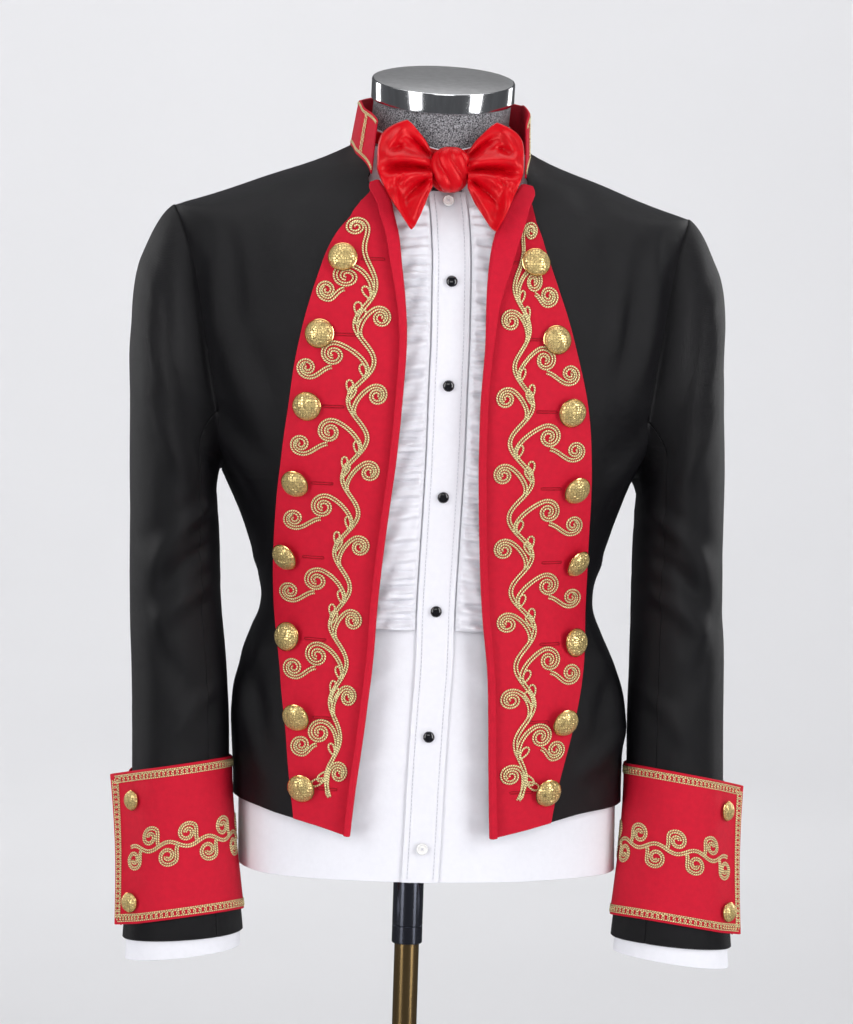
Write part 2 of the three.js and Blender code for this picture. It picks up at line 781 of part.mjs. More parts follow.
function buildNeckwear() {
  const foot = (angle) => {
    const { x, y } = neckline(angle);
    return heightUnder(shirtLayer, x, y) - 1.5;
  };
  neckband("shirt_collar", "white", 1, foot, neckbandTop, 0, SHIRT_WALL);
  const tie = (drop) => (angle) => neckbandTop(angle) - drop;
  neckband("tie_band", "satin", 1, tie(11), tie(1), 1.8, SHIRT_WALL);

  // Each loop runs from the knot out along the front, round its end fold and back behind the knot.
  const loop = grid(6, 12, (v, u) => {
    const t = 2 * u;
    const along = t < 1 ? t : 2 - t;
    const side = 2 * v - 1;
    const corner = side > 0 ? BOW_TOP_CORNER * side ** 4 : BOW_LOW_CORNER * (-side) ** 1.6;
    const spread = bow.spread(along) * (1 - corner * along);
    const tall = side > 0 ? bow.top(along) * side : -bow.bottom(along) * side;
    const fullness = Math.sin(Math.PI * Math.min(1, along * 0.5 + 0.12)) * Math.sqrt(Math.max(0, 1 - along ** 4));
    const depth = (t < 1 ? -1 : 1) * (1.6 + (BOW_LOOP_DEPTH / 2) * fullness * (1 - 0.55 * side * side));
    const forward = (BOW_SWEEP * along * along * (1 - side)) / 2;
    const y = BOW_CENTRE.y + depth + side * BOW_CENTRE.lean - forward;
    return vector(spread, y, BOW_CENTRE.z + tall);
  });
  pair("bow_loop", "satin", loop, 1.4);

  const rings = [-1, -0.75, -0.3, 0.3, 0.75, 1].map((level) => {
    const girth = Math.sqrt(1 - 0.62 * level * level);
    return Array.from({ length: 14 }, (_, k) => {
      const turn = (2 * Math.PI * k) / 14;
      return vector(16.5 * girth * Math.cos(turn), 13.6 * girth * Math.sin(turn), 20 * level);
    });
  });
  const knot = add("bow_knot", "satin", loft(rings));
  knot.position.set(0, BOW_CENTRE.y, BOW_CENTRE.z);
}

function buildShirtCuffs() {
  const depth = JACKET_WALL + 1.4 + SHIRT_WALL / 2;
  const net = grid(2, 18, (v, u) => {
    const turn = 360 * u;
    const share = (1 - Math.cos(radians(turn))) / 2;
    const bottom = mix(SHIRT_CUFF.bottomOuter, SHIRT_CUFF.bottomInner, share);
    return onSleeve(mix(bottom, SHIRT_CUFF.top, v), turn, -depth);
  });
  pair("shirt_cuff", "white", net.map((row) => row.slice(0, -1)), SHIRT_WALL, true);
}

// ---- Jacket -----------------------------------------------------------------------------------------------

const collarEdgeFront = neckEdge(jacketLayer, collarPlan, 0.58, 1);
const collarEdgeBack = neckEdge(jacketLayer, collarPlan, 0, 0.58);

function buildJacketBody() {
  const lift = -JACKET_WALL / 2;
  const neckPoint = collarEdgeFront.high - 2;
  const frontHeights = [...JACKET_ROWS, 1392, 1402, neckPoint];
  const openEdge = (z) => {
    if (z < 1386) return angleAt(jacketLayer, z, frontOpening(z) + 1);
    return collarEdgeFront.edge(z) + 0.6;
  };
  const outer = (z) => {
    const seam = seamAngle(jacketLayer, z) * (z > UNDERARM_Z && z < SHOULDER_TIP.z ? 2.5 : 1);
    return armholeEdge(z, -1) - seam;
  };
  const front = panel(jacketLayer, frontHeights, 8, openEdge, outer, lift, frontDrop);
  pair("jacket_front", "black", front, JACKET_WALL);

  const centreBack = collarEdgeBack.high - 1;
  const backHeights = [832, 880, 930, 970, 995, 1013, 1031, 1060, 1096, UNDERARM_Z, 1150, 1190, 1235, 1280];
  const neckRows = [0, 0.33, 0.66, 1].map((share) => mix(collarEdgeBack.low - 0.5, centreBack, share));
  backHeights.push(1315, 1342, 1359, 1370, 1385, 1400, 1408, ...neckRows);
  const inner = (z) => {
    const seam = seamAngle(jacketLayer, z) * (z > UNDERARM_Z && z < SHOULDER_TIP.z ? 2.5 : 1);
    return z > collarEdgeBack.low ? collarEdgeBack.edge(z) + 0.6 : armholeEdge(z, 1) + seam;
  };
  const centre = (z) => 180 - seamAngle(jacketLayer, z);
  const backHem = (p) => -0.04 * (180 - Math.abs(p.x));
  const back = panel(jacketLayer, backHeights, 6, inner, centre, lift, backHem);
  pair("jacket_back", "black", back, JACKET_WALL);
}

// The line of the armhole seam, 0 degrees at the shoulder tip and 90 at the front.
function armholeLoop(turn) {
  const [middle, reach] = [(SHOULDER_TIP.z + UNDERARM_Z) / 2, (SHOULDER_TIP.z - UNDERARM_Z) / 2];
  const z = middle + reach * Math.cos(radians(turn));
  const side = Math.sin(radians(turn)) >= 0 ? -1 : 1;
  const edge = armholeEdge(Math.max(z, UNDERARM_Z + 0.01), side);
  const p = raised(jacketLayer, Math.min(z, SHOULDER_TIP.z - 1), edge, 0);
  return vector(p.x + mix(0.3, 1.4, (1 - Math.cos(radians(turn))) / 2), p.y, z);
}

// A point of the sleeve's outer surface: 0 along at the armhole and 1 below the cuff.
function sleeveSurface(along, turn) {
  const [sine, cosine] = [Math.sin(radians(turn)), Math.cos(radians(turn))];
  const outer = vector(sleeve.outerX(along), 0, sleeve.outerZ(along));
  const inner = vector(sleeve.innerX(along), 0, sleeve.innerZ(along));
  const p = outer.clone().add(inner).multiplyScalar(0.5);
  p.addScaledVector(outer.sub(inner), cosine / 2);
  const [front, back] = [sleeve.front(along), sleeve.back(along)];
  p.y = (front + back) / 2 + ((front - back) / 2) * sine;
  const blend = THREE.MathUtils.smoothstep(along, 0, 0.1);
  return armholeLoop(turn).lerp(p, along <= 0 ? 0 : Math.max(blend, along > 0.1 ? 1 : 0));
}

function sleeveNormal(along, turn) {
  const round = sleeveSurface(along, turn + 1).sub(sleeveSurface(along, turn - 1));
  const down = sleeveSurface(along + 0.004, turn).sub(sleeveSurface(along - 0.004, turn));
  return round.cross(down).normalize();
}

// A point at a height on the lower sleeve, moved out from its surface.
function onSleeve(height, turn, lift) {
  let [low, high] = [0.3, 1];
  for (let i = 0; i < 30; i++) {
    const along = (low + high) / 2;
    [low, high] = sleeveSurface(along, turn).z > height ? [along, high] : [low, along];
  }
  const p = sleeveSurface(low, turn);
  const inward = vector(sleeve.outerX(low) + sleeve.innerX(low), sleeve.front(low) + sleeve.back(low), 0);
  const out = vector(p.x - inward.x / 2, p.y - inward.y / 2, 0);
  out.set(out.x / 49 ** 2, out.y / 39 ** 2, 0).normalize();
  return vector(p.x + out.x * lift, p.y + out.y * lift, height);
}

function buildSleeves() {
  const rows = [0, 0.008, 0.02, 0.05, 0.1, 0.16, 0.24, 0.32, 0.4, 0.55, 0.68, 0.78, 0.88, SLEEVE_HEM];
  const gap = 0.7;
  const cloth = (cols, from, to) =>
    rows.map((along) =>
      Array.from({ length: cols + 1 }, (_, j) => {
        const turn = mix(from + gap, to - gap, j / cols);
        const normal = sleeveNormal(Math.max(along, 0.006), turn);
        return sleeveSurface(along, turn).addScaledVector(normal, -JACKET_WALL / 2);
      }),
    );
  pair("sleeve_top", "black", cloth(11, ...TOP_SLEEVE_ARC), JACKET_WALL);
  pair("sleeve_under", "black", cloth(5, TOP_SLEEVE_ARC[1], 360 + TOP_SLEEVE_ARC[0]), JACKET_WALL);
}

// The point of a gauntlet cuff: round counts from its tucked end behind, by the inner side and the front,
// to where it leaves the sleeve, and then on along the straight free flap.
function gauntletPoint(round, height) {
  const WRAP = 0.84; // the share of the strip that lies on the sleeve
  const lift = GAUNTLET.lift + FACING_WALL / 2;
  const turn = mix(0, GAUNTLET.leave - 360, Math.min(1, round / WRAP));
  const share = (1 - Math.cos(radians(turn))) / 2;
  const bottom = mix(GAUNTLET.bottomOuter, GAUNTLET.bottomInner, share);
  const top = mix(GAUNTLET.topOuter, GAUNTLET.topInner, share);
  const z = mix(bottom, top, height) + GAUNTLET.frontRise * Math.max(0, Math.sin(radians(turn)));
  const p = onSleeve(z, turn, lift);
  if (round <= WRAP) return p;
  const before = onSleeve(z, turn + 4, lift);
  const out = (round - WRAP) / (1 - WRAP);
  p.addScaledVector(p.clone().sub(before).setZ(0).normalize(), out * gauntletFlap(height));
  return p.setZ(z - out * mix(FLAP_DROP.bottom, FLAP_DROP.top, height));
}

function buildGauntlets() {
  const net = grid(3, 25, (v, u) => gauntletPoint(u, v));
  pair("gauntlet", "red", net, FACING_WALL);
}

// The stand collar, from the centre back to its open front end.
function collarPoint(along, height) {
  const [x, y] = [collarPlan.x(along), collarPlan.y(along)];
  const foot = heightUnder(jacketLayer, x, y) + SEAM_GAP + 0.4;
  const inwards = 0.1 * height;
  const outward = vector(x, y, 0).normalize();
  return vector(x - outward.x * inwards, y - outward.y * inwards, foot + height);
}

function buildCollar() {
  const half = grid(2, 15, (v, u) => {
    const height = collarHeight(u) * v;
    return collarPoint(u * (1 - 0.02 * v), height);
  });
  const whole = half.map((row) => [...row.slice(1).reverse().map((p) => vector(-p.x, p.y, p.z)), ...row]);
  add("stand_collar", "red", wall(whole, FACING_WALL));
}

// How far the plastron's front edge is turned back over itself: a narrow roll below, wider at the neck and
// widest on the left.
const turnBack = columns(
  table("height left right", [
    [800, 2.5, 2.5],
    [1230, 3, 3],
    [1275, 7, 4],
    [1320, 17, 7],
    [1345, 20, 8.5],
    [1363, 17.5, 9],
    [1378, 12, 7.5],
  ]),
  "height",
);
const ROLL_RADIUS = 2.3;
const PLASTRON_TOP = 1378;

// A plastron's point: 0 across at its outer edge, 1 at the front edge, to 2 round the roll and to 3 over
// the part that is turned back.
function plastronPoint(side, across, height) {
  const outer = angleAt(jacketLayer, height, plastronOutline(height));
  const front = angleAt(jacketLayer, height, frontOpening(height));
  const slant = 8 * THREE.MathUtils.smoothstep(height, 1340, PLASTRON_TOP);
  const lift = FACING_LIFT + FACING_WALL / 2;
  const place = (angle, share, out) => {
    const z = height + hemShift(jacketLayer, height, angle, frontDrop) + slant * (2 * share - 1);
    return raised(jacketLayer, z, angle, out);
  };
  if (across <= 1) return place(angleBetween(jacketLayer, height, outer, front, across), across, lift);
  if (across <= 2) {
    const turn = Math.PI * (across - 1);
    const edge = place(front, 1, lift + ROLL_RADIUS * (1 - Math.cos(turn)));
    return edge.add(vector(-1, 0, 0).multiplyScalar(ROLL_RADIUS * Math.sin(turn)));
  }
  const width = turnBack[side](height) * (across - 2);
  const angle = angleAt(jacketLayer, height, frontOpening(height) + width);
  return place(angle, 1 - 0.15 * (across - 2), lift + 2 * ROLL_RADIUS + 0.12 * width);
}

function buildPlastrons() {
  const stations = [0, 0.15, 0.3, 0.45, 0.6, 0.8, 1, 1.33, 1.66, 2, 3];
  const rows = [...JACKET_ROWS.filter((z) => z < 1375), PLASTRON_TOP];
  const net = (side) => rows.map((height) => stations.map((across) => plastronPoint(side, across, height)));
  add("plastron_left", "red", wall(net("left"), FACING_WALL));
  add("plastron_right", "red", wall(mirrored(net("right")), FACING_WALL));
}

// ---- Buttons ----------------------------------------------------------------------------------------------

function domeProfile({ radius, height, shank }) {
  return [
    [0, 0],
    [shank, 0],
    [shank, height * 0.26],
    [radius, height * 0.36],
    [radius * 0.72, height * 0.8],
    [0, height],
  ];
}

function sew(name, material, kind, at, normal, seat = 0.3, droop = 0) {
  const outward = normal.clone().applyAxisAngle(vector(1, 0, 0), radians(droop)).normalize();
  const button = add(name, material, turned(domeProfile(kind), 10));
  button.position.copy(at).addScaledVector(normal, seat);
  button.quaternion.setFromUnitVectors(vector(0, 1, 0), outward);
}

function buildButtons() {
  const both = [["left", 1], ["right", -1]];
  frontButtons.forEach(({ x, z, droop, seat }, i) => {
    const angle = angleAt(jacketLayer, z, x);
    const at = raised(jacketLayer, z, angle, FACING_LIFT + FACING_WALL);
    const normal = surfaceNormal(jacketLayer, z, angle);
    for (const [side, sign] of both)
      sew(`button_${side}_${i + 1}`, "gold", BUTTON, vector(sign * at.x, at.y, at.z),
        vector(sign * normal.x, normal.y, normal.z), seat, droop);
  });
  [0.14, 0.81].forEach((height, i) => {
    const round = 0.885;
    const at = gauntletPoint(round, height);
    const ahead = gauntletPoint(round + 0.02, height).sub(at);
    const normal = vector(ahead.y, -ahead.x, 0).normalize();
    at.addScaledVector(normal, FACING_WALL / 2);
    for (const [side, sign] of both)
      sew(`cuff_button_${side}_${i + 1}`, "gold", CUFF_BUTTON, vector(sign * at.x, at.y, at.z),
        vector(sign * normal.x, normal.y, 0), 0.55);
  });
  const onPlacket = FACING_LIFT + SHIRT_WALL;
  STUD_HEIGHTS.forEach((z, i) => {
    const at = raised(shirtLayer, z, 0, onPlacket);
    sew(`stud_${i + 1}`, "jet", STUD, at, surfaceNormal(shirtLayer, z, 0), 0.42);
  });
  PEARL_HEIGHTS.forEach((z, i) => {
    const at = z > 1370 ? placketTopPoint(z) : raised(shirtLayer, z, 0, onPlacket);
    sew(`shirt_button_${i + 1}`, "pearl", STUD, at, surfaceNormal(shirtLayer, z, 0));
  });
}

function placketTopPoint(z) {
  return raised(shirtLayer, z - 6, 0, FACING_LIFT + SHIRT_WALL + 0.7);
}

buildForm();
buildShirt();
buildRuffles();
buildNeckwear();
buildJacketBody();
buildSleeves();
buildShirtCuffs();
buildCollar();
buildPlastrons();
buildGauntlets();
buildButtons();
for (const mesh of part.children) pose(mesh);
buildStand();

export default part;
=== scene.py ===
"""Looks of a mess jacket worn open over a ruffled dress shirt and bow tie, on a dress form.

Lengths are in millimetres until a mesh is made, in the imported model's frame: +Z up, the wearer faces -Y
and the wearer's left is +X. The clothes follow the same tables as the solids, in finer steps.
"""

import math

import bpy
import numpy as np
from mathutils import Matrix, Vector


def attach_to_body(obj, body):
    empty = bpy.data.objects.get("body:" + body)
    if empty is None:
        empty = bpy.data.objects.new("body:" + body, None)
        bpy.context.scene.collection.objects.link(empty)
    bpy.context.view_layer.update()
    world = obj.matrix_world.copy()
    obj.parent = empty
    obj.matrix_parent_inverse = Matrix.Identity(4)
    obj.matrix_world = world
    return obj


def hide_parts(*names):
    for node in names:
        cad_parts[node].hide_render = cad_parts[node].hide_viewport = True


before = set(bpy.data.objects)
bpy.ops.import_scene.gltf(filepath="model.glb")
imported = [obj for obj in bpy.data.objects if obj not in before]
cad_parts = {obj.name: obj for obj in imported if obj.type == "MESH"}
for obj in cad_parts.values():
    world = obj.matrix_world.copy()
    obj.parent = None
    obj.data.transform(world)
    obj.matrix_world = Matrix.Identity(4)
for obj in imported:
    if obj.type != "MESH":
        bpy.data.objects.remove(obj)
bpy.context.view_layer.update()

MM = 0.001
JACKET_WALL = 2.0
SHIRT_WALL = 1.2
FACING_WALL = 1.6
FACING_LIFT = 1.0
SEAM_GAP = 0.4
SHOULDER_TIP_Z = 1361
NECK_TOP_Z = 1445.0
UNDERARM_Z = 1125
SIDE_SEAM_ANGLE = 95
SHIRT_HEM_Z = 771
FORM_BOTTOM_Z = 782
HEM_Z = 832
HEM_REACH = 130
SIDES = {"left": 1, "right": -1}


# ---- Curves and tables ----


def hermite(t, start, end, leave, arrive):
    """The cubic that runs from start to end as t goes from 0 to 1, with the slope given at each."""
    t2, t3 = t * t, t * t * t
    half_way = (2 * t3 - 3 * t2 + 1) * start + (t3 - 2 * t2 + t) * leave
    return half_way + (3 * t2 - 2 * t3) * end + (t3 - t2) * arrive


def smooth_curve(x, y):
    """A curve through the points that never overshoots them (monotone cubic)."""
    x, y = np.asarray(x, float), np.asarray(y, float)
    slope = np.diff(y) / np.diff(x)
    tangent = np.concatenate([slope[:1], np.zeros(len(x) - 2), slope[-1:]])
    before, after = slope[:-1], slope[1:]
    same = before * after > 0
    total = np.where(same, before + after, 1)
    tangent[1:-1] = np.where(same, 2 * before * after / total, 0)

    def at(value):
        value = np.clip(np.asarray(value, float), x[0], x[-1])
        i = np.clip(np.searchsorted(x, value, side="right") - 1, 0, len(x) - 2)
        width = x[i + 1] - x[i]
        return hermite((value - x[i]) / width, y[i], y[i + 1], width * tangent[i], width * tangent[i + 1])

    return at


def columns(names, rows):
    """A curve for each column of a table, by the table's first column."""
    data = np.array(rows, float)
    return {name: smooth_curve(data[:, 0], data[:, i]) for i, name in enumerate(names.split()) if i}


def smoothstep(value, low, high):
    t = np.clip((value - low) / (high - low), 0, 1)
    return t * t * (3 - 2 * t)


def mix(a, b, share):
    return a + (b - a) * share


def unit(v):
    return v / np.maximum(np.linalg.norm(v, axis=-1, keepdims=True), 1e-9)


def stack(x, y, z):
    return np.stack(np.broadcast_arrays(x, y, z), axis=-1).astype(float)


def mirrored(points, sign):
    return points * np.array([sign, 1, 1])


def paired(a, b):
    return np.broadcast_arrays(np.asarray(a, float), np.asarray(b, float))


def steps_round(count, full=2 * math.pi):
    return np.linspace(0, full, count, endpoint=False)


def last_where(holds, low, high, steps):
    """Halves the span from low, where a test holds, to high, where it doesn't."""
    for _ in range(steps):
        middle = (low + high) / 2
        here = holds(middle)
        low, high = np.where(here, middle, low), np.where(here, high, middle)
    return low


JACKET = columns("height half front back squareness", [
    [750, 178, 116, 122, 2.2],
    [841, 176, 114, 122, 2.2],
    [900, 178, 110, 117, 2.2],
    [958, 169, 106, 110, 2.2],
    [1013, 150, 102, 102, 2.2],
    [1070, 163, 109, 107, 2.25],
    [1118, 183, 117, 114, 2.3],
    [1156, 200, 123, 120, 2.35],
    [1200, 212, 127, 125, 2.4],
    [1243, 219, 126, 127, 2.4],
    [1285, 226, 119, 126, 2.3],
    [1316, 230, 111, 122, 2.2],
    [1340, 230.5, 102, 115, 2.1],
    [1361, 231, 94, 106, 2.0],
    [1366.5, 210, 91.5, 103.5, 2.0],
    [1387.5, 155, 83, 94, 2.0],
    [1406, 104, 78, 87.5, 2.0],
    [1416, 83, 75, 84, 2.0],
    [1429, 60, 70, 76, 2.0],
    [1445, 40, 60, 60, 2.0],
])
SIDE_WIDTHS = columns("height form shirt", [
    [750, 163, 171],
    [841, 163, 171],
    [900, 160, 168],
    [958, 152, 160],
    [1013, 133, 141],
    [1070, 146, 154],
    [1118, 166, 173],
    [1156, 174, 184],
    [1243, 181, 200],
    [1300, 187, 208],
    [1364, 200, 218],
])
FRONT_OPENING = columns("height x", [
    [812, 65],
    [840, 63],
    [893, 58.5],
    [945, 54.5],
    [998, 49.7],
    [1050, 45.8],
    [1103, 41.9],
    [1155, 38.4],
    [1208, 36.8],
    [1260, 37.2],
    [1287, 38.2],
    [1313, 40.5],
    [1339, 44],
    [1360, 53],
    [1378, 67],
    [1386, 71],
])["x"]
PLASTRON_EDGE = columns("height x", [
    [822, 112],
    [840, 114.5],
    [893, 124],
    [945, 132.5],
    [998, 137],
    [1050, 138.5],
    [1103, 138],
    [1155, 135],
    [1208, 128.5],
    [1260, 117.5],
    [1313, 101],
    [1339, 91],
    [1360, 80],
    [1378, 71],
])["x"]
FRONT_HEM = columns("x height", [[60, 812], [100, 822], [125, 827.5], [150, 832], [180, 834]])["height"]
ARMHOLE = columns("height front back", [
    [UNDERARM_Z, -5, 5],
    [1130, 7, 13],
    [1140, 12, 16],
    [1156, 15.5, 18],
    [1195, 18, 19.5],
    [1243, 17, 18.5],
    [1285, 14.5, 16.5],
    [1316, 11.5, 13.2],
    [1345, 6.3, 7.3],
    [1355, 3.4, 3.9],
    [SHOULDER_TIP_Z, 0, 0],
])
COLLAR_PLAN = columns("along x y height", [
    [0, 0, 77, 45],
    [0.2, 37, 69, 43.2],
    [0.4, 63, 47, 41],
    [0.58, 77, 8, 38.2],
    [0.8, 77, -35, 38],
    [1, 68, -69, 41],
])
SLEEVE = columns("along outerX outerZ innerX innerZ front back", [
    [0.02, 240, 1360, 189, 1120, -64, 67],
    [0.05, 251, 1343, 190.5, 1113, -71, 74],
    [0.1, 260, 1308, 190.5, 1107, -76, 78],
    [0.16, 266, 1262, 190, 1100, -77, 79],
    [0.24, 268.5, 1200, 189, 1090, -76, 78],
    [0.32, 268.5, 1140, 188, 1075, -73, 75],
    [0.4, 268, 1080, 187, 1048, -70, 70],
    [0.48, 268, 1020, 186, 1010, -67, 63],
    [0.57, 268, 960, 183, 958, -67, 54],
    [0.66, 267.5, 900, 180.5, 901, -68, 44],
    [0.74, 267.5, 850, 180, 853, -69, 34],
    [0.82, 269, 800, 177, 805, -70, 25],
    [0.9, 271.5, 755, 172, 762, -71, 16],
    [0.97, 275.5, 706, 166.5, 715, -72, 7],
    [1, 277, 676, 164.5, 688, -72, 3],
])
SLEEVE_HEM = 0.97
FOREARM_HALF = (49, 39)
TOP_SLEEVE_ARC = (-117, 122)
GAUNTLET_FLAP = columns("height length", [[0, 25], [0.5, 33], [1, 46]])["length"]
LEAN = columns("height x", [
    [690, 17],
    [870, 13.5],
    [950, 11.5],
    [1012, 8.5],
    [1128, 6],
    [1250, 2.5],
    [1361, 3],
    [1420, 5.5],
    [1470, 8.7],
])["x"]
DRIFT = columns("height shirt inner outer", [
    [771, -14.5, -17, -14.5],
    [820, -12, -15.5, -12],
    [853, -10.5, -14, -10.6],
    [915, -6.5, -10, -5.2],
    [983, -1, -6.5, -2.5],
    [1050, 2, -5.7, -2.6],
    [1103, 4, -4.3, -1.7],
    [1155, 6, -1.8, -0.3],
    [1192, 7.4, 0.5, 0.6],
    [1254, 9.6, 4.5, -1.6],
    [1320, 9.9, 2.9, -3.4],
    [1360, 8, 5, 0],
    [1378, 6, 7, 2],
    [1400, 4.7, 7, 3],
])
TURN_BACK = columns("height left right", [
    [800, 2.5, 2.5],
    [1230, 3, 3],
    [1275, 7, 4],
    [1320, 17, 7],
    [1345, 20, 8.5],
    [1363, 17.5, 9],
    [1371, 15.5, 8.5],
    [1378, 8, 4],
])
NECKBAND_TOP = columns("angle height", [
    [0, 1415],
    [45, 1427],
    [90, 1438],
    [135, 1446],
    [180, 1450],
])["height"]
FRONT_BUTTONS = [  # x, z, and how far each droops on its shank, in degrees
    (84, 1320, 0),
    (103, 1254.5, 0),
    (115, 1192, 4),
    (122, 1124, 10),
    (126.5, 1057, 16),
    (125, 983, 18),
    (116.5, 915, 26),
    (107, 853, 18),
]


# ---- Body shape ----


def layer(drop, front, back, half):
    return {"drop": drop, "front": front, "back": back, "half": half}


SHIRT_DROP, FORM_DROP = 3.9, 13
BODY = {
    "jacket": layer(0, 0, 0, JACKET["half"]),
    "shirt": layer(SHIRT_DROP, 14, 9, lambda z: np.minimum(
        JACKET["half"](z + SHIRT_DROP) - 0.3, SIDE_WIDTHS["shirt"](z))),
    "form": layer(FORM_DROP, 21, 16, lambda z: np.minimum(
        JACKET["half"](z + FORM_DROP) - 0.6, SIDE_WIDTHS["form"](z))),
}


def section(kind, z):
    s = BODY[kind]
    front = JACKET["front"](z + s["drop"]) - s["front"]
    back = JACKET["back"](z + s["drop"]) - s["back"]
    return s["half"](z), front, back, JACKET["squareness"](z + s["drop"])


def surface(kind, z, angle):
    """The point at height z and angle round the body, 0 at the centre front and 180 at the centre back."""
    half, front, back, power = section(kind, z)
    sine, cosine = np.sin(np.radians(angle)), np.cos(np.radians(angle))
    depth = np.where(cosine > 0, front, back)
    reach = (np.abs(sine / half) ** power + np.abs(cosine / depth) ** power) ** (-1 / power)
    return stack(reach * sine, -reach * cosine, z)


def surface_normal(kind, z, angle):
    around = surface(kind, z, angle + 0.5) - surface(kind, z, angle - 0.5)
    up = surface(kind, z + 1, angle) - surface(kind, z - 1, angle)
    return unit(np.cross(around, up))


def raised(kind, z, angle, lift):
    return surface(kind, z, angle) + surface_normal(kind, z, angle) * np.asarray(lift, float)[..., None]


def angle_between(kind, z, start, end, share):
    """The angle a share of the way between two others, in even steps round a stretched circle."""
    half, front, back, _ = section(kind, z)

    def even(angle):
        sine, cosine = np.sin(np.radians(angle)), np.cos(np.radians(angle))
        return np.arctan2(sine / half, cosine / np.where(cosine > 0, front, back))

    at = mix(even(start), even(end), share)
    depth = np.where(np.cos(at) > 0, front, back)
    angle = np.degrees(np.arctan2(half * np.sin(at), depth * np.cos(at)))
    return np.where(angle < -1e-9, angle + 360, angle)


def angle_at(kind, z, x):
    """The angle round the front at which the surface lies x to the side."""
    half, front, _, power = section(kind, z)
    share = np.minimum(1, np.abs(x) / half)
    return np.degrees(np.arctan2(x, front * (1 - share ** power) ** (1 / power)))


def height_under(kind, x, y):
    """The height at which the shoulders pass under a point of the plan."""
    x, y = paired(x, y)

    def inside(z):
        half, front, back, power = section(kind, z)
        depth = np.where(y < 0, front, back)
        return np.abs(x / half) ** power + np.abs(y / depth) ** power < 1

    return last_where(inside, np.full(x.shape, float(SHOULDER_TIP_Z)), np.full(x.shape, NECK_TOP_Z), 36)


def posed(points, kind):
    """Carries points with the figure, which leans and turns a little on its pole."""
    x, y, z = points[..., 0], points[..., 1], points[..., 2]
    share = smoothstep(-y, 10, 85) * (1 - smoothstep(np.abs(x), 130, 190))
    sideways = DRIFT["shirt"](z)
    if kind == "jacket":
        sideways = mix(DRIFT["inner"](z), DRIFT["outer"](z), smoothstep(np.abs(x), 60, 95))
    return points + stack(LEAN(z) + sideways * share, 0, 0)


def worn(points, normal, sign, kind):
    """Points and the cloth's normals there, on the wearer's left (1) or right (-1)."""
    return posed(mirrored(points, sign), kind), mirrored(normal, sign)


def armhole_edge(z, side):
    reach = ARMHOLE["front"](z) if side < 0 else ARMHOLE["back"](z)
    return np.where(z <= UNDERARM_Z, SIDE_SEAM_ANGLE, 90 + side * reach)


def hem_shift(kind, z, angle, lower):
    return lower(surface(kind, z, angle)) * np.maximum(0, 1 - (z - HEM_Z) / HEM_REACH)


def front_drop(points):
    return FRONT_HEM(np.abs(points[..., 0])) - HEM_Z


def seam_angle(kind, z):
    return np.degrees(SEAM_GAP / section(kind, z)[0])


def neck_edge(kind, plan, start, end):
    """The edge of a neck opening as an angle for each height, with its lowest and highest point."""
    x, y = plan(np.linspace(start, end, 41))
    height, angle = height_under(kind, x, y), np.degrees(np.arctan2(x, -y))
    order = np.argsort(height)
    height, angle = height[order], angle[order]
    keep = np.concatenate([[True], np.diff(height) > 1e-6])
    return smooth_curve(height[keep], angle[keep]), height[0], height[-1]


# ---- Meshes ----


def new_object(name, vertices, faces, uv, material, sharp=50):
    mesh = bpy.data.meshes.new(name)
    mesh.from_pydata((np.asarray(vertices) * MM).tolist(), [], [list(f) for f in faces])
    mesh.materials.append(material)
    if uv is not None:
        index = np.empty(len(mesh.loops), int)
        mesh.loops.foreach_get("vertex_index", index)
        mesh.uv_layers.new(name="UVMap").data.foreach_set("uv", (uv[index] * MM).ravel().astype(np.float32))
    mesh.shade_smooth()
    mesh.set_sharp_from_angle(angle=math.radians(sharp))
    thing = bpy.data.objects.new(name, mesh)
    bpy.context.collection.objects.link(thing)
    return thing


def signed_volume(vertices, quads):
    a, b, c, d = (vertices[quads[:, k]] for k in range(4))
    return np.einsum("ij,ij->", a, np.cross(b, c) + np.cross(c, d))


def edge_lengths(net, axis):
    return np.linalg.norm(np.diff(net, axis=axis), axis=-1)


def running(steps):
    return np.concatenate([[0], np.cumsum(steps)])


def flat_uv(net):
    """Each point's place on the cloth laid flat, measured along the net's columns and rows."""
    u, v = running(edge_lengths(net, 1).mean(axis=0)), running(edge_lengths(net, 0).mean(axis=1))
    return np.stack(np.meshgrid(u, v), axis=-1).reshape(-1, 2)


def quads_between(index, ring=True):
    """The faces between the rows of an index grid, which closes round each row where it is a ring."""
    if ring:
        index = np.concatenate([index, index[:, :1]], axis=1)
    corners = [index[:-1, :-1], index[:-1, 1:], index[1:, 1:], index[1:, :-1]]
    return np.stack(corners, axis=-1).reshape(-1, 4)


def net_normals(net, ring=False):
    if ring:
        across = np.roll(net, -1, axis=1) - np.roll(net, 1, axis=1)
    else:
        across = np.gradient(net, axis=1)
    return unit(np.cross(across, np.gradient(net, axis=0)))


EDGE_BULGE = 0.4  # how far a cloth's rounded edge stands out, as a share of its thickness


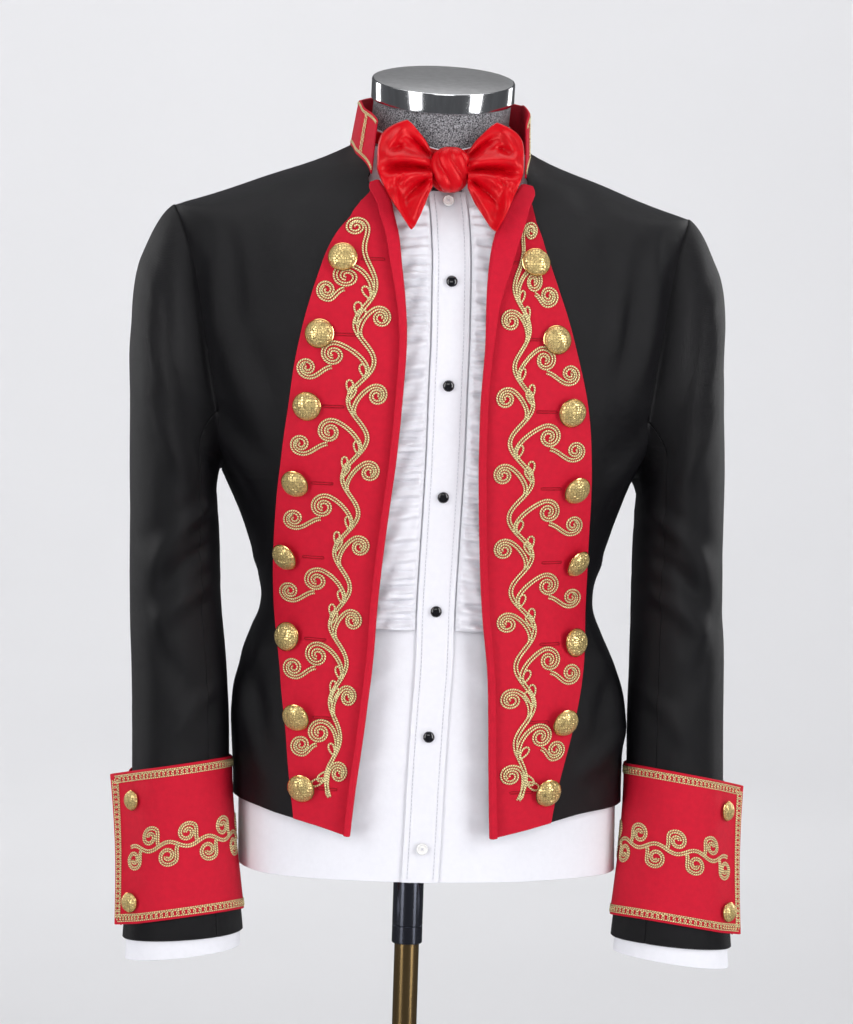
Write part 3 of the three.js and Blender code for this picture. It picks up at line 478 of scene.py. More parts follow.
def shell(name, net, thickness, material, ring):
    """A cloth wall with rounded edges on a net of points in the middle of the cloth."""
    rows, cols = net.shape[:2]
    normal = net_normals(net, ring)
    uv = flat_uv(net)
    index = np.arange(rows * cols).reshape(rows, cols)
    quads = quads_between(index, ring)
    middle = net.reshape(-1, 3)
    half = normal.reshape(-1, 3) * thickness / 2
    points = [middle + half, middle - half]
    faces = [quads, quads[:, ::-1] + rows * cols]
    uvs = [uv, uv]
    outward = np.zeros_like(net)
    outward[0] += unit(net[0] - net[1])
    outward[-1] += unit(net[-1] - net[-2])
    if ring:
        loops = [index[0], index[-1][::-1]]
    else:
        outward[:, 0] += unit(net[:, 0] - net[:, 1])
        outward[:, -1] += unit(net[:, -1] - net[:, -2])
        loops = [np.concatenate([index[0, :-1], index[:-1, -1], index[-1, :0:-1], index[:0:-1, 0]])]
    rim = middle + unit(outward.reshape(-1, 3)) * thickness * EDGE_BULGE
    start = 2 * rows * cols
    for loop in loops:
        edge = start + np.arange(len(loop))
        following, edge_next = np.roll(loop, -1), np.roll(edge, -1)
        points.append(rim[loop])
        uvs.append(uv[loop])
        faces.append(np.stack([loop, edge, edge_next, following], axis=-1))
        below = rows * cols
        faces.append(np.stack([edge, loop + below, following + below, edge_next], axis=-1))
        start += len(loop)
    points, faces = np.concatenate(points), np.concatenate(faces)
    if signed_volume(points, faces) < 0:
        faces = faces[:, ::-1]
    return new_object(name, points, faces, np.concatenate(uvs), material)


def loft(name, rings, material, sharp=35):
    """A closed solid through rings of points, of shape (rings, sides, 3)."""
    count, sides = rings.shape[:2]
    index = np.arange(count * sides).reshape(count, sides)
    quads = quads_between(index)
    points = rings.reshape(-1, 3)
    if signed_volume(points, quads) < 0:
        quads = quads[:, ::-1]
        caps = [list(index[0]), list(index[-1][::-1])]
    else:
        caps = [list(index[0][::-1]), list(index[-1])]
    return new_object(name, points, [*quads.tolist(), *caps], flat_uv(rings), material, sharp)


def turned(node, part, profile, sides, finish, slot, place=Matrix(), sharp=35, top=None):
    """A solid's likeness from a profile of (radius, height). top is the first row of another finish."""
    turn = steps_round(sides)
    rings = np.array([stack(r * np.cos(turn), r * np.sin(turn), h) for r, h in profile])
    thing = loft(f"{node}_{part}", rings, FINISHES[finish], sharp)
    for step in (Matrix.Scale(1 / MM, 4), place, Matrix.Scale(MM, 4)):
        thing.data.transform(step)
    if top:
        row, other = top
        thing.data.materials.append(FINISHES[other])
        for face in thing.data.polygons:
            face.material_index = int(min(face.vertices) >= row * sides)
    attach(thing, slot, node)


def cord(name, paths, radius, thread, slot, sides=6):
    """Thread laid along paths, each of its points, the cloth's normals there and whether it is closed."""
    points, faces, uvs, start = [], [], [], 0
    turn = steps_round(sides)
    for line, normal, closed in paths:
        ahead = np.roll(line, -1, axis=0) - np.roll(line, 1, axis=0) if closed else np.gradient(line, axis=0)
        side = unit(np.cross(unit(ahead), normal))
        up = unit(np.cross(side, unit(ahead)))
        rings = line[:, None] + radius * (
            np.cos(turn)[None, :, None] * side[:, None] + np.sin(turn)[None, :, None] * up[:, None])
        count = len(line)
        index = start + np.arange(count * sides).reshape(count, sides)
        if closed:
            index = np.concatenate([index, index[:1]])
        faces += quads_between(index).tolist()
        if not closed:
            faces += [index[0][::-1].tolist(), index[-1].tolist()]
        points.append(rings.reshape(-1, 3))
        run = running(edge_lengths(line, 0))
        uvs.append(np.stack(np.broadcast_arrays(run[:, None], turn[None] * radius), axis=-1).reshape(-1, 2))
        start += count * sides
    sewn = new_object(name, np.concatenate(points), faces, np.concatenate(uvs), FINISHES[thread], 80)
    return attach(sewn, slot)


def pitch_rows(low, high, step):
    return np.linspace(low, high, max(2, int(round((high - low) / step)) + 1))


def attach(piece, slot, *nodes):
    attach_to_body(piece, "root")
    if nodes:
        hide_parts(*nodes)
    return piece


def cloth(node, net, thickness, slot, ring=False):
    """A worn piece of cloth: its shell, put in the place of the solid it stands for, which is hidden."""
    piece = attach(shell(f"{node}_cloth", net, thickness, FINISHES[slot], ring), slot, node)


def cloth_pair(name, net, kind, thickness, slot, ring=False):
    """The same piece on the wearer's left and, mirrored, on the right. {side} stands for either word."""
    for side, sign in SIDES.items():
        placed = posed(mirrored(net, sign), kind)
        cloth(f"{name}_{side}", placed, thickness, slot, ring)


# ---- Materials ----


class Finish:
    """A material with one principled shader and a few short calls that add nodes to it."""

    def __init__(self, name, colour, roughness, **settings):
        self.material = bpy.data.materials.new(name)
        self.material.use_nodes = True
        self.nodes, self.links = self.material.node_tree.nodes, self.material.node_tree.links
        self.shader = self.nodes["Principled BSDF"]
        self.set("Base Color", (*colour, 1))
        self.set("Roughness", roughness)
        for socket, value in settings.items():
            self.set(socket.replace("_", " "), value)

    def set(self, socket, value):
        self.shader.inputs[socket].default_value = value

    def node(self, kind, inputs=(), **settings):
        node = self.nodes.new(kind)
        for key, value in settings.items():
            setattr(node, key, value)
        for socket, value in dict(inputs).items():
            if isinstance(value, bpy.types.NodeSocket):
                self.links.new(value, node.inputs[socket])
            else:
                node.inputs[socket].default_value = value
        return node

    def place(self, kind="UV"):
        return self.node("ShaderNodeTexCoord").outputs[kind]

    def noise(self, size_mm, detail=2.0, kind="Object", stretch=(1, 1, 1)):
        at = self.node("ShaderNodeMapping", {"Vector": self.place(kind), "Scale": stretch})
        inputs = {"Vector": at.outputs[0], "Scale": 1 / (size_mm * MM), "Detail": detail}
        return self.node("ShaderNodeTexNoise", inputs).outputs["Fac"]

    def threads(self, pitch_mm, turn=0.0):
        """Ridges of yarn across the cloth's own U direction, turned by an angle."""
        at = self.node("ShaderNodeMapping", {"Vector": self.place(), "Rotation": (0, 0, turn)})
        inputs = {"Vector": at.outputs[0], "Scale": 0.314 / (pitch_mm * MM), "Distortion": 0.4}
        inputs.update({"Detail": 1.0, "Detail Scale": 2.0})
        return self.node("ShaderNodeTexWave", inputs).outputs["Fac"]

    def product(self, a, b):
        return self.node("ShaderNodeMath", {0: a, 1: b}, operation="MULTIPLY").outputs[0]

    def ramp(self, value, low, high, start=0.3, end=0.7):
        node = self.node("ShaderNodeValToRGB", {"Fac": value})
        first, last = node.color_ramp.elements
        first.position, last.position = start, end
        first.color, last.color = (*low, 1), (*high, 1)
        return node.outputs["Color"]

    def colour(self, socket):
        self.links.new(socket, self.shader.inputs["Base Color"])
        return self

    def rough(self, value, low, high):
        inputs = {"Value": value, "To Min": low, "To Max": high}
        self.links.new(self.node("ShaderNodeMapRange", inputs).outputs[0], self.shader.inputs["Roughness"])
        return self

    def bump(self, *heights):
        """Relief from pairs of a height socket and its depth in millimetres."""
        last = None
        for height, depth in heights:
            inputs = {"Height": height, "Distance": depth * MM, "Strength": 1.0}
            if last:
                inputs["Normal"] = last
            last = self.node("ShaderNodeBump", inputs).outputs["Normal"]
        self.links.new(last, self.shader.inputs["Normal"])
        return self


def shade(colour, factor):
    return tuple(min(1, c * factor) for c in colour)


def woven(name, colour, roughness, pitch, depth, spread, sheen, twill=0.0, tint=None, shine=0.18):
    """Cloth with crossing yarns, pitch apart and depth deep, a mottled colour and a soft sheen."""
    finish = Finish(name, colour, roughness, Sheen_Weight=sheen, Sheen_Roughness=0.35,
                    Sheen_Tint=(*(tint or colour), 1), Specular_IOR_Level=shine)
    mottle = finish.noise(5, 3)
    fine = finish.noise(0.6, 2, "UV")
    dark, light = shade(colour, 1 - spread), shade(colour, 1 + spread)
    finish.colour(finish.ramp(finish.product(mottle, fine), dark, light, 0.12, 0.42))
    yarns = [finish.threads(pitch, twill), finish.threads(pitch, twill + math.pi / 2)]
    finish.bump((yarns[0], depth), (yarns[1], depth), (finish.noise(9, 3), 0.25))
    return finish.rough(fine, roughness - 0.08, roughness + 0.08).material


def satin(name, colour):
    finish = Finish(name, colour, 0.3, Anisotropic=0.4, Specular_IOR_Level=1.0,
                    Specular_Tint=(1, 0.22, 0.2, 1))
    fine = finish.noise(0.5, 2, "UV", (1, 6, 1))
    finish.colour(finish.ramp(finish.noise(14, 2), shade(colour, 0.88), shade(colour, 1.1)))
    finish.bump((fine, 0.03), (finish.noise(7, 3), 0.35))
    return finish.rough(fine, 0.26, 0.36).material


def heather(name):
    finish = Finish(name, (0.2, 0.2, 0.21), 0.85, Sheen_Weight=0.2, Specular_IOR_Level=0.2)
    speck = finish.noise(1.1, 3)
    finish.colour(finish.ramp(speck, (0.02, 0.02, 0.024), (0.4, 0.4, 0.42), 0.38, 0.66))
    return finish.bump((speck, 0.4), (finish.noise(0.5, 2), 0.2)).material


def gold(name, colour, cell, depth, roughness):
    """Stamped metal: small cells with raised lines between them."""
    finish = Finish(name, colour, roughness, Metallic=0.75)
    cells = finish.node("ShaderNodeTexVoronoi", {
        "Vector": finish.place("Object"), "Scale": 1 / (cell * MM), "Randomness": 0.55,
    }, feature="DISTANCE_TO_EDGE").outputs["Distance"]
    line = finish.node("ShaderNodeMapRange", {"Value": cells, "From Max": 0.16, "To Min": 1, "To Max": 0})
    finish.colour(finish.ramp(line.outputs[0], shade(colour, 1.1), shade(colour, 0.5), 0.2, 1))
    finish.bump((line.outputs[0], depth), (finish.noise(2, 2), 0.05))
    return finish.rough(finish.noise(3, 2), roughness - 0.06, roughness + 0.1).material


def gold_thread(name, colour, pitch):
    """Metal thread wound round a core. Its colour has painted glints in short steps along the winding, with
    painted shade in the gaps between them.
    """
    finish = Finish(name, colour, 0.36, Metallic=0.4, Specular_IOR_Level=0.6)
    wound = finish.threads(pitch, 0.5)
    # painted glints on the wraps and painted shade between them, put into the thread's colour
    painted_glint_and_shade = finish.product(wound, finish.noise(2.2, 2))
    finish.colour(finish.ramp(painted_glint_and_shade, shade(colour, 0.4), shade(colour, 1.2), 0.08, 0.36))
    return finish.bump((wound, 0.3)).material


def metal(name, colour, roughness, smear=0.04):
    finish = Finish(name, colour, roughness, Metallic=1.0)
    drawn = finish.noise(6, 3, "Object", (1, 1, 0.06))
    finish.colour(finish.ramp(drawn, shade(colour, 0.9), shade(colour, 1.06)))
    return finish.rough(drawn, roughness, roughness + smear).material


def gloss(name, colour, roughness, spread=0.1):
    finish = Finish(name, colour, roughness, Coat_Weight=0.6, Coat_Roughness=0.05)
    finish.colour(finish.ramp(finish.noise(4, 2), shade(colour, 1 - spread), shade(colour, 1 + spread)))
    return finish.bump((finish.noise(2.5, 2), 0.02)).material


def plain(name, colour, roughness):
    finish = Finish(name, colour, roughness, Specular_IOR_Level=0.1)
    finish.colour(finish.ramp(finish.noise(900, 1), shade(colour, 0.99), shade(colour, 1.01)))
    return finish.material


RED = (0.54, 0.0052, 0.025)
SCARLET = (0.56, 0.0015, 0.008)
GOLD = (1.0, 0.70, 0.30)
FINISHES = {name: make(name, *settings) for name, make, *settings in [
    ("black_wool", woven, (0.0040, 0.0036, 0.0050), 0.48, 0.9, 0.1, 0.2, 0.05, 0.9, (0.3, 0.29, 0.35), 0.3),
    ("red_wool", woven, RED, 0.66, 0.8, 0.1, 0.08, 0.03, 0.4, (0.9, 0.1, 0.15)),
    ("white_cotton", woven, (0.755, 0.755, 0.80), 0.7, 0.6, 0.05, 0.02, 0.03, 0.0, (1, 1, 1)),
    ("white_thread", woven, (0.55, 0.55, 0.61), 0.6, 0.3, 0.05, 0.05, 0.2),
    ("red_thread", woven, (0.36, 0.005, 0.014), 0.55, 0.4, 0.1, 0.15, 0.2),
    ("red_satin", satin, SCARLET),
    ("form_cover", heather),
    ("gold_metal", gold, GOLD, 2.3, 0.35, 0.28),
    ("gold_rim", metal, GOLD, 0.2),
    ("gold_thread", gold_thread, (0.98, 0.74, 0.38), 1.9),
    ("silver_rim", metal, (0.75, 0.75, 0.78), 0.15),
    ("jet", gloss, (0.006, 0.006, 0.008), 0.06),
    ("pearl", gloss, (0.82, 0.81, 0.79), 0.25, 0.04),
    ("cap_chrome", metal, (0.7, 0.71, 0.73), 0.1),
    ("cap_top", metal, (0.52, 0.52, 0.53), 0.42),
    ("pole_dark", metal, (0.16, 0.17, 0.21), 0.16),
    ("pole_bronze", metal, (0.46, 0.31, 0.14), 0.2),
    ("base_chrome", metal, (0.60, 0.61, 0.63), 0.12),
]}


# ---- Creases ----


def creases(points, rows):
    """How far soft ridges (+) and troughs (-) move the cloth out. A row is a crease as seen from the front
    or the back: x, z of both its ends, its half width, its depth and its side, -1 in front or 1 behind."""
    x, z = points[..., 0], points[..., 2]
    total = np.zeros(x.shape)
    for x0, z0, x1, z1, width, depth, side in rows:
        dx, dz = x1 - x0, z1 - z0
        length = math.hypot(dx, dz)
        t = ((x - x0) * dx + (z - z0) * dz) / length ** 2
        bend = 0.06 * length * np.sin(np.pi * np.clip(t, 0, 1))
        away = ((x - x0) * dz - (z - z0) * dx) / length + bend
        taper = smoothstep(t, -0.12, 0.25) * (1 - smoothstep(t, 0.7, 1.15))
        spread = width * (0.7 + 0.6 * np.clip(t, 0, 1))
        beside = np.exp(-(((np.abs(away) - 1.9 * spread) / spread) ** 2))
        soft = np.exp(-((away / spread) ** 2)) - 0.35 * beside
        where = smoothstep(points[..., 1] * side, -12, 12)
        total += depth * soft * taper * where
    return total


DRAPE = 1.8  # how much deeper the worn cloth's creases are than their tables give
BOW_DRAPE = 1.35
JACKET_CREASES = [
    (196, 1345, 168, 1190, 11, 1.6, -1),
    (180, 1330, 150, 1200, 9, -1.3, -1),
    (205, 1180, 150, 1120, 10, 1.7, -1),
    (190, 1150, 145, 1075, 8, -1.2, -1),
    (150, 1060, 175, 960, 8, 1.5, -1),
    (165, 1030, 148, 900, 7, -1.1, -1),
    (150, 980, 175, 885, 9, 1.3, -1),
    (120, 1385, 165, 1300, 12, -1.3, -1),
    (175, 1340, 120, 1250, 12, 1.8, 1),
    (195, 1200, 120, 1160, 11, 1.9, 1),
    (190, 1160, 100, 1090, 9, -1.4, 1),
    (150, 1030, 60, 1010, 10, 1.6, 1),
    (150, 1000, 90, 930, 9, -1.3, 1),
    (60, 1390, 110, 1330, 12, -1.2, 1),
    (40, 1330, 30, 1180, 16, 1.2, 1),
]
LEFT_CREASES = JACKET_CREASES + [(160, 1290, 140, 1180, 10, 1.2, -1), (178, 905, 130, 862, 9, 1.1, -1)]
RIGHT_CREASES = JACKET_CREASES + [(170, 1275, 150, 1150, 12, 1.5, -1), (170, 940, 140, 850, 8, 1.2, -1)]
SLEEVE_CREASES = [
    (262, 1330, 235, 1190, 9, 1.5, -1),
    (240, 1300, 205, 1160, 8, -1.3, -1),
    (258, 1215, 210, 1120, 10, 1.4, -1),
    (196, 1100, 250, 1040, 8, 1.8, -1),
    (195, 1065, 245, 1015, 7, -1.4, -1),
    (192, 1030, 250, 985, 8, 1.5, -1),
    (262, 1010, 215, 930, 9, -1.1, -1),
    (190, 940, 235, 880, 8, 1.0, -1),
    (262, 1240, 215, 1120, 10, 1.7, 1),
    (196, 1095, 255, 1060, 9, 2.0, 1),
    (192, 1040, 255, 1030, 8, -1.6, 1),
    (195, 1005, 250, 960, 9, 1.6, 1),
    (260, 920, 210, 880, 9, -1.0, 1),
]
SHIRT_CREASES = [
    (30, 960, 95, 905, 8, 1.0, -1),
    (24, 880, 120, 850, 9, 1.1, -1),
    (28, 830, 100, 800, 8, -0.9, -1),
    (60, 800, 150, 850, 9, 1.0, -1),
    (150, 950, 90, 890, 9, 1.0, -1),
    (150, 860, 60, 800, 10, 1.1, 1),
    (120, 840, 20, 820, 9, -1.0, 1),
]


# ---- Jacket ----

UNDER_SLEEVE = 2  # seam gaps that a panel runs on over the sleeve's turned-in edge
SLEEVE_SEAM = 5  # how far that edge reaches in under the panel
SLEEVE_SEAM_GAP = 0.45  # half the gap between the sleeve's two pieces, in degrees
ARMHOLE_CENTRE = np.array([0, 3, 1243])


def collar_plan(along):
    return COLLAR_PLAN["x"](along), COLLAR_PLAN["y"](along)


COLLAR_FRONT_EDGE, _, COLLAR_FRONT_TOP = neck_edge("jacket", collar_plan, 0.58, 1)
COLLAR_BACK_EDGE, COLLAR_BACK_LOW, COLLAR_BACK_TOP = neck_edge("jacket", collar_plan, 0, 0.58)


def at_armhole(z):
    return (z > UNDERARM_Z) & (z < SHOULDER_TIP_Z)


def seam(z):
    """How far a panel stops short of its seam in degrees. At the armhole it runs on under the sleeve."""
    return seam_angle("jacket", z) * np.where(at_armhole(z), -UNDER_SLEEVE, 0.3)


def eased(edge, z):
    """An edge averaged over the heights around, below the shoulder, as it would run without its notches."""
    around = np.mean([edge(z + shift) for shift in np.linspace(-60, 60, 13)], axis=0)
    return mix(around, edge(z), smoothstep(z, 1200, 1290))


def panel(kind, heights, shares, start, end, lower=None):
    """The height and angle of each point of a panel, in rows of equal height."""
    z, shares = np.asarray(heights, float)[:, None], np.asarray(shares)[None, :]
    first, last = eased(start, z), eased(end, z)
    angle = angle_between(kind, z, first, last, shares)
    angle = angle + (start(z) - first) * (1 - smoothstep(shares, 0, 0.3))
    angle = angle + (end(z) - last) * smoothstep(shares, 0.7, 1)
    z = np.broadcast_to(z, angle.shape)
    if lower is not None:
        z = z + hem_shift(kind, z, angle, lower)
    return z, angle


def cloth_points(kind, z, angle, lift, rows, hold=None):
    flat = surface(kind, z, angle)
    moved = DRAPE * creases(flat, rows)
    if hold is not None:
        moved = moved * hold(flat)
    return raised(kind, z, angle, lift + moved)


def jacket_open_edge(z):
    along_front = angle_at("jacket", np.minimum(z, 1380), FRONT_OPENING(np.minimum(z, 1380)) + 1)
    along_neck = COLLAR_FRONT_EDGE(np.maximum(z, 1392)) + 0.6
    return mix(along_front, along_neck, np.clip((z - 1380) / 12, 0, 1))


def beyond_plastron(points):
    """0 under a plastron, so that the cloth lies flat there, and 1 away from it."""
    edge = PLASTRON_EDGE(points[..., 2])
    front = smoothstep(points[..., 0] - edge, 1, 24)
    return np.where((points[..., 1] < 0) & (points[..., 2] < 1384), front, 1)


def rounded(net):
    """Softens the ridge where the shoulders begin."""
    inner = 1 - smoothstep(np.abs(net[1:-1, :, 0]), 175, 229)
    near = (0.5 * inner * (1 - smoothstep(np.abs(net[1:-1, :, 2] - SHOULDER_TIP_Z), 5, 30)))[..., None]
    for _ in range(12):
        net[1:-1] = mix(net[1:-1], (net[:-2] + net[2:]) / 2, near)
    return net


def build_jacket():
    wall = -JACKET_WALL / 2
    heights = np.concatenate([pitch_rows(HEM_Z, 1376, 4), pitch_rows(1379, COLLAR_FRONT_TOP - 2, 2.5)])
    low, high = COLLAR_BACK_LOW, COLLAR_BACK_TOP
    back_heights = np.concatenate([pitch_rows(HEM_Z, low - 3, 4), pitch_rows(low - 0.5, high - 1, 2)])
    back_hem = lambda p: -0.04 * (180 - np.abs(p[..., 0]))
    for side, sign in SIDES.items():
        rows = LEFT_CREASES if side == "left" else RIGHT_CREASES
        z, angle = panel("jacket", heights, np.linspace(0, 1, 45), jacket_open_edge,
                         lambda h: armhole_edge(h, -1) - seam(h), front_drop)
        net = rounded(cloth_points("jacket", z, angle, wall, rows, beyond_plastron))
        cloth(f"jacket_front_{side}", posed(mirrored(net, sign), "jacket"), JACKET_WALL, "black_wool")
        z, angle = panel("jacket", back_heights, np.linspace(0, 1, 41),
                         lambda h: np.where(h > COLLAR_BACK_LOW, COLLAR_BACK_EDGE(h) + 0.6,
                                            armhole_edge(h, 1) + seam(h)),
                         lambda h: 180 - seam_angle("jacket", h), back_hem)
        net = rounded(cloth_points("jacket", z, angle, wall, rows))
        cloth(f"jacket_back_{side}", posed(mirrored(net, sign), "jacket"), JACKET_WALL, "black_wool")


def armhole_loop(turn):
    cosine = np.cos(np.radians(turn))
    z = (SHOULDER_TIP_Z + UNDERARM_Z) / 2 + (SHOULDER_TIP_Z - UNDERARM_Z) / 2 * cosine
    at = np.maximum(z, UNDERARM_Z + 0.01)
    edge = np.where(np.sin(np.radians(turn)) >= 0, armhole_edge(at, -1), armhole_edge(at, 1))
    p = raised("jacket", np.minimum(z, SHOULDER_TIP_Z - 1), edge, 0)
    return stack(p[..., 0] + mix(0.3, 1.4, (1 - cosine) / 2), p[..., 1], z)


def sleeve_surface(along, turn):
    """A point of the sleeve's outer surface: 0 along at the armhole and 1 below the cuff."""
    along, turn = paired(along, turn)
    sine, cosine = np.sin(np.radians(turn)), np.cos(np.radians(turn))
    outer = stack(SLEEVE["outerX"](along), 0, SLEEVE["outerZ"](along))
    inner = stack(SLEEVE["innerX"](along), 0, SLEEVE["innerZ"](along))
    p = (outer + inner) / 2 + (outer - inner) * cosine[..., None] / 2
    front, back = SLEEVE["front"](along), SLEEVE["back"](along)
    p[..., 1] = (front + back) / 2 + (front - back) / 2 * sine
    blend = smoothstep(along, 0, 0.1)[..., None]
    return mix(armhole_loop(turn), p, blend)


def sleeve_normal(along, turn):
    around = sleeve_surface(along, turn + 1) - sleeve_surface(along, turn - 1)
    down = sleeve_surface(along + 0.004, turn) - sleeve_surface(np.maximum(along - 0.004, 0), turn)
    return unit(np.cross(around, down))


def on_sleeve(height, turn, lift):
    """A point at a height on the lower sleeve, moved out from its surface."""
    height, turn = paired(height, turn)
    along = last_where(lambda at: sleeve_surface(at, turn)[..., 2] > height,
                       np.full(height.shape, 0.3), np.ones(height.shape), 26)
    p = sleeve_surface(along, turn)
    middle_x = (SLEEVE["outerX"](along) + SLEEVE["innerX"](along)) / 2
    middle_y = (SLEEVE["front"](along) + SLEEVE["back"](along)) / 2
    half_x, half_y = FOREARM_HALF
    out = unit(stack((p[..., 0] - middle_x) / half_x ** 2, (p[..., 1] - middle_y) / half_y ** 2, 0))
    p = p + out * lift
    p[..., 2] = height
    return p


def build_sleeves():
    along = np.concatenate([[0, 0.003, 0.008, 0.014], np.linspace(0.02, SLEEVE_HEM, 170)])[:, None]
    arcs = {"top": (*TOP_SLEEVE_ARC, 62), "under": (TOP_SLEEVE_ARC[1], 360 + TOP_SLEEVE_ARC[0], 34)}
    for name, (start, end, count) in arcs.items():
        turn = np.linspace(start + SLEEVE_SEAM_GAP, end - SLEEVE_SEAM_GAP, count)[None, :]
        outer = sleeve_surface(along, turn)
        normal = sleeve_normal(np.maximum(along, 0.006), turn)
        level = outer.copy()
        level[..., 1] -= (SLEEVE["front"](along) + SLEEVE["back"](along)) / 2
        moved = DRAPE * creases(level, SLEEVE_CREASES) * smoothstep(outer[..., 2], 872, 905)
        net = outer + normal * (moved * smoothstep(along, 0, 0.05) - JACKET_WALL / 2)[..., None]
        loop = armhole_loop(turn)
        inward = unit((ARMHOLE_CENTRE - loop) * np.array([0, 1, 1]))
        net = np.concatenate([loop + 3.0 * inward - stack(SLEEVE_SEAM, 0, 0), net])
        cloth_pair(f"sleeve_{name}", net, "shirt", JACKET_WALL, "black_wool")


# ---- Facings: plastrons, stand collar and gauntlet cuffs ----

ROLL_RADIUS = 2.3
PLASTRON_TOP = 1378
COLLAR_SLANT = 0.02
GAUNTLET = {"top": (853, 868), "bottom": (716, 733), "front_rise": 7, "leave": 40, "lift": 1.2, "wrap": 0.84}
FLAP_DROP = (4, 10)  # how far the flap's end hangs lower, at its bottom and its top


def plastron_point(side, across, height):
    """across is 0 at the outer edge, 1 at the front edge, 2 past the roll and 3 at the turned-back end."""
    across, height = paired(across, height)
    outer = angle_at("jacket", height, PLASTRON_EDGE(height))
    front = angle_at("jacket", height, FRONT_OPENING(height))
    slant = 8 * smoothstep(height, 1340, PLASTRON_TOP)
    lift = FACING_LIFT + FACING_WALL / 2

    def place(angle, share, out):
        z = height + hem_shift("jacket", height, angle, front_drop) + slant * (2 * share - 1)
        return raised("jacket", z, angle, out)

    flat_share = np.clip(across, 0, 1)
    flat = place(angle_between("jacket", height, outer, front, flat_share), flat_share, lift)
    turn = math.pi * np.clip(across - 1, 0, 1)
    roll = place(front, 1, lift + ROLL_RADIUS * (1 - np.cos(turn)))
    roll = roll - stack(ROLL_RADIUS * np.sin(turn), 0, 0)
    back_share = np.clip(across - 2, 0, 1)
    width = TURN_BACK[side](height) * back_share
    angle = angle_at("jacket", height, FRONT_OPENING(height) + width)
    wave = 0.5 * np.sin(height / 17) * back_share * smoothstep(width, 4, 14)
    back = place(angle, 1 - 0.15 * back_share, lift + 2 * ROLL_RADIUS + 0.12 * width + wave)
    return np.where((across <= 1)[..., None], flat, np.where((across <= 2)[..., None], roll, back))


def build_plastrons():
    heights = pitch_rows(HEM_Z, PLASTRON_TOP, 3.5)[:, None]
    stretches = (0, 0.96, 34), (1, 2, 9), (2.1, 3, 9)
    across = np.concatenate([np.linspace(*stretch) for stretch in stretches])[None, :]
    for side, sign in SIDES.items():
        net = mirrored(plastron_point(side, across, heights), sign)
        cloth(f"plastron_{side}", posed(net, "jacket"), FACING_WALL, "red_wool")


def collar_point(along, height, lift=0.0):
    """A point of the stand collar, 0 along at the centre back and 1 at its open front end."""
    along, height = paired(along, height)
    x, y = collar_plan(along)
    foot = height_under("jacket", x, y) + 2 * SEAM_GAP
    outward = unit(stack(x, y, 0))
    return stack(x, y, foot + height) + outward * (lift - 0.1 * height)[..., None]


def build_collar():
    share = np.linspace(-0.05, 1, 15)[:, None]
    along = np.linspace(0, 1, 80)[None, :]
    half = collar_point(along * (1 - COLLAR_SLANT * share), COLLAR_PLAN["height"](along) * share)
    whole = np.concatenate([mirrored(half[:, :0:-1], -1), half], axis=1)
    cloth("stand_collar", posed(whole, "jacket"), FACING_WALL, "red_wool")


def gauntlet_point(round_, height, lift=0.0):
    """round_ counts from the tucked end behind, past the inner side and the front, along the free flap."""
    round_, height = paired(round_, height)
    wrap = GAUNTLET["wrap"]
    out = GAUNTLET["lift"] + FACING_WALL / 2
    turn = mix(0, GAUNTLET["leave"] - 360, np.minimum(1, round_ / wrap))
    share = (1 - np.cos(np.radians(turn))) / 2
    z = mix(mix(*GAUNTLET["bottom"], share), mix(*GAUNTLET["top"], share), height)
    z = z + GAUNTLET["front_rise"] * np.maximum(0, np.sin(np.radians(turn)))
    p, before = on_sleeve(z, turn, out), on_sleeve(z, turn + 4, out)
    ahead = unit((p - before) * np.array([1, 1, 0]))
    beyond = np.maximum(0, (round_ - wrap) / (1 - wrap))
    outward = stack(ahead[..., 1], -ahead[..., 0], 0)
    drop = stack(0, 0, beyond * mix(*FLAP_DROP, height))
    return p + ahead * (beyond * GAUNTLET_FLAP(height))[..., None] + outward * lift - drop


def build_gauntlets():
    round_ = np.concatenate([np.linspace(0, 0.84, 74), np.linspace(0.852, 1, 14)])[None, :]
    net = gauntlet_point(round_, np.linspace(0, 1, 32)[:, None])
    cloth_pair("gauntlet", net, "shirt", FACING_WALL, "red_wool")


# ---- Shirt and neckwear ----

PLACKET_HALF_WIDTH = 16
PLACKET_TOP = 1380
PLACKET_STITCH_X = 11.5
STITCH = {"pitch": 3.6, "radius": 0.24, "sides": 4}
NECKLINE = {"y": -3.1, "half_width": 62.8, "half_depth": 64.8, "opening": 1.8}
RUFFLE = {"inner": 18, "outer": 62, "low": 994, "high": 1366, "lift": 1.5, "wall": 0.7, "fullness": 1.15,
          "waves": 21, "swell": 5.2, "stand": 2.6, "tuck": 1.8, "crinkle": 1.4, "curl": 1.6}
BOW = columns("along spread top bottom", [
    [0, 16, 15, -15],
    [0.25, 26, 26, -31],
    [0.55, 39, 34, -43],
    [0.8, 52, 39.5, -50],
    [1, 64, 42, -52],
])
SHIRT_CUFF = {"hem_outside": 687, "hem_inside": 701, "top": 765, "gap": 1.4}
BOW_CENTRE = {"y": -83.7, "z": 1400, "lean": 12}
BOW_SWEEP = 21
BOW_CORNERS = (0.38, 5.5), (0.42, 1.25)  # how much the top and low corners are cut away, and how sharply
BOW_WALL = 1.4
KNOT = {"half_width": 17.5, "half_depth": 14.2, "half_height": 20, "pleat": 0.26}
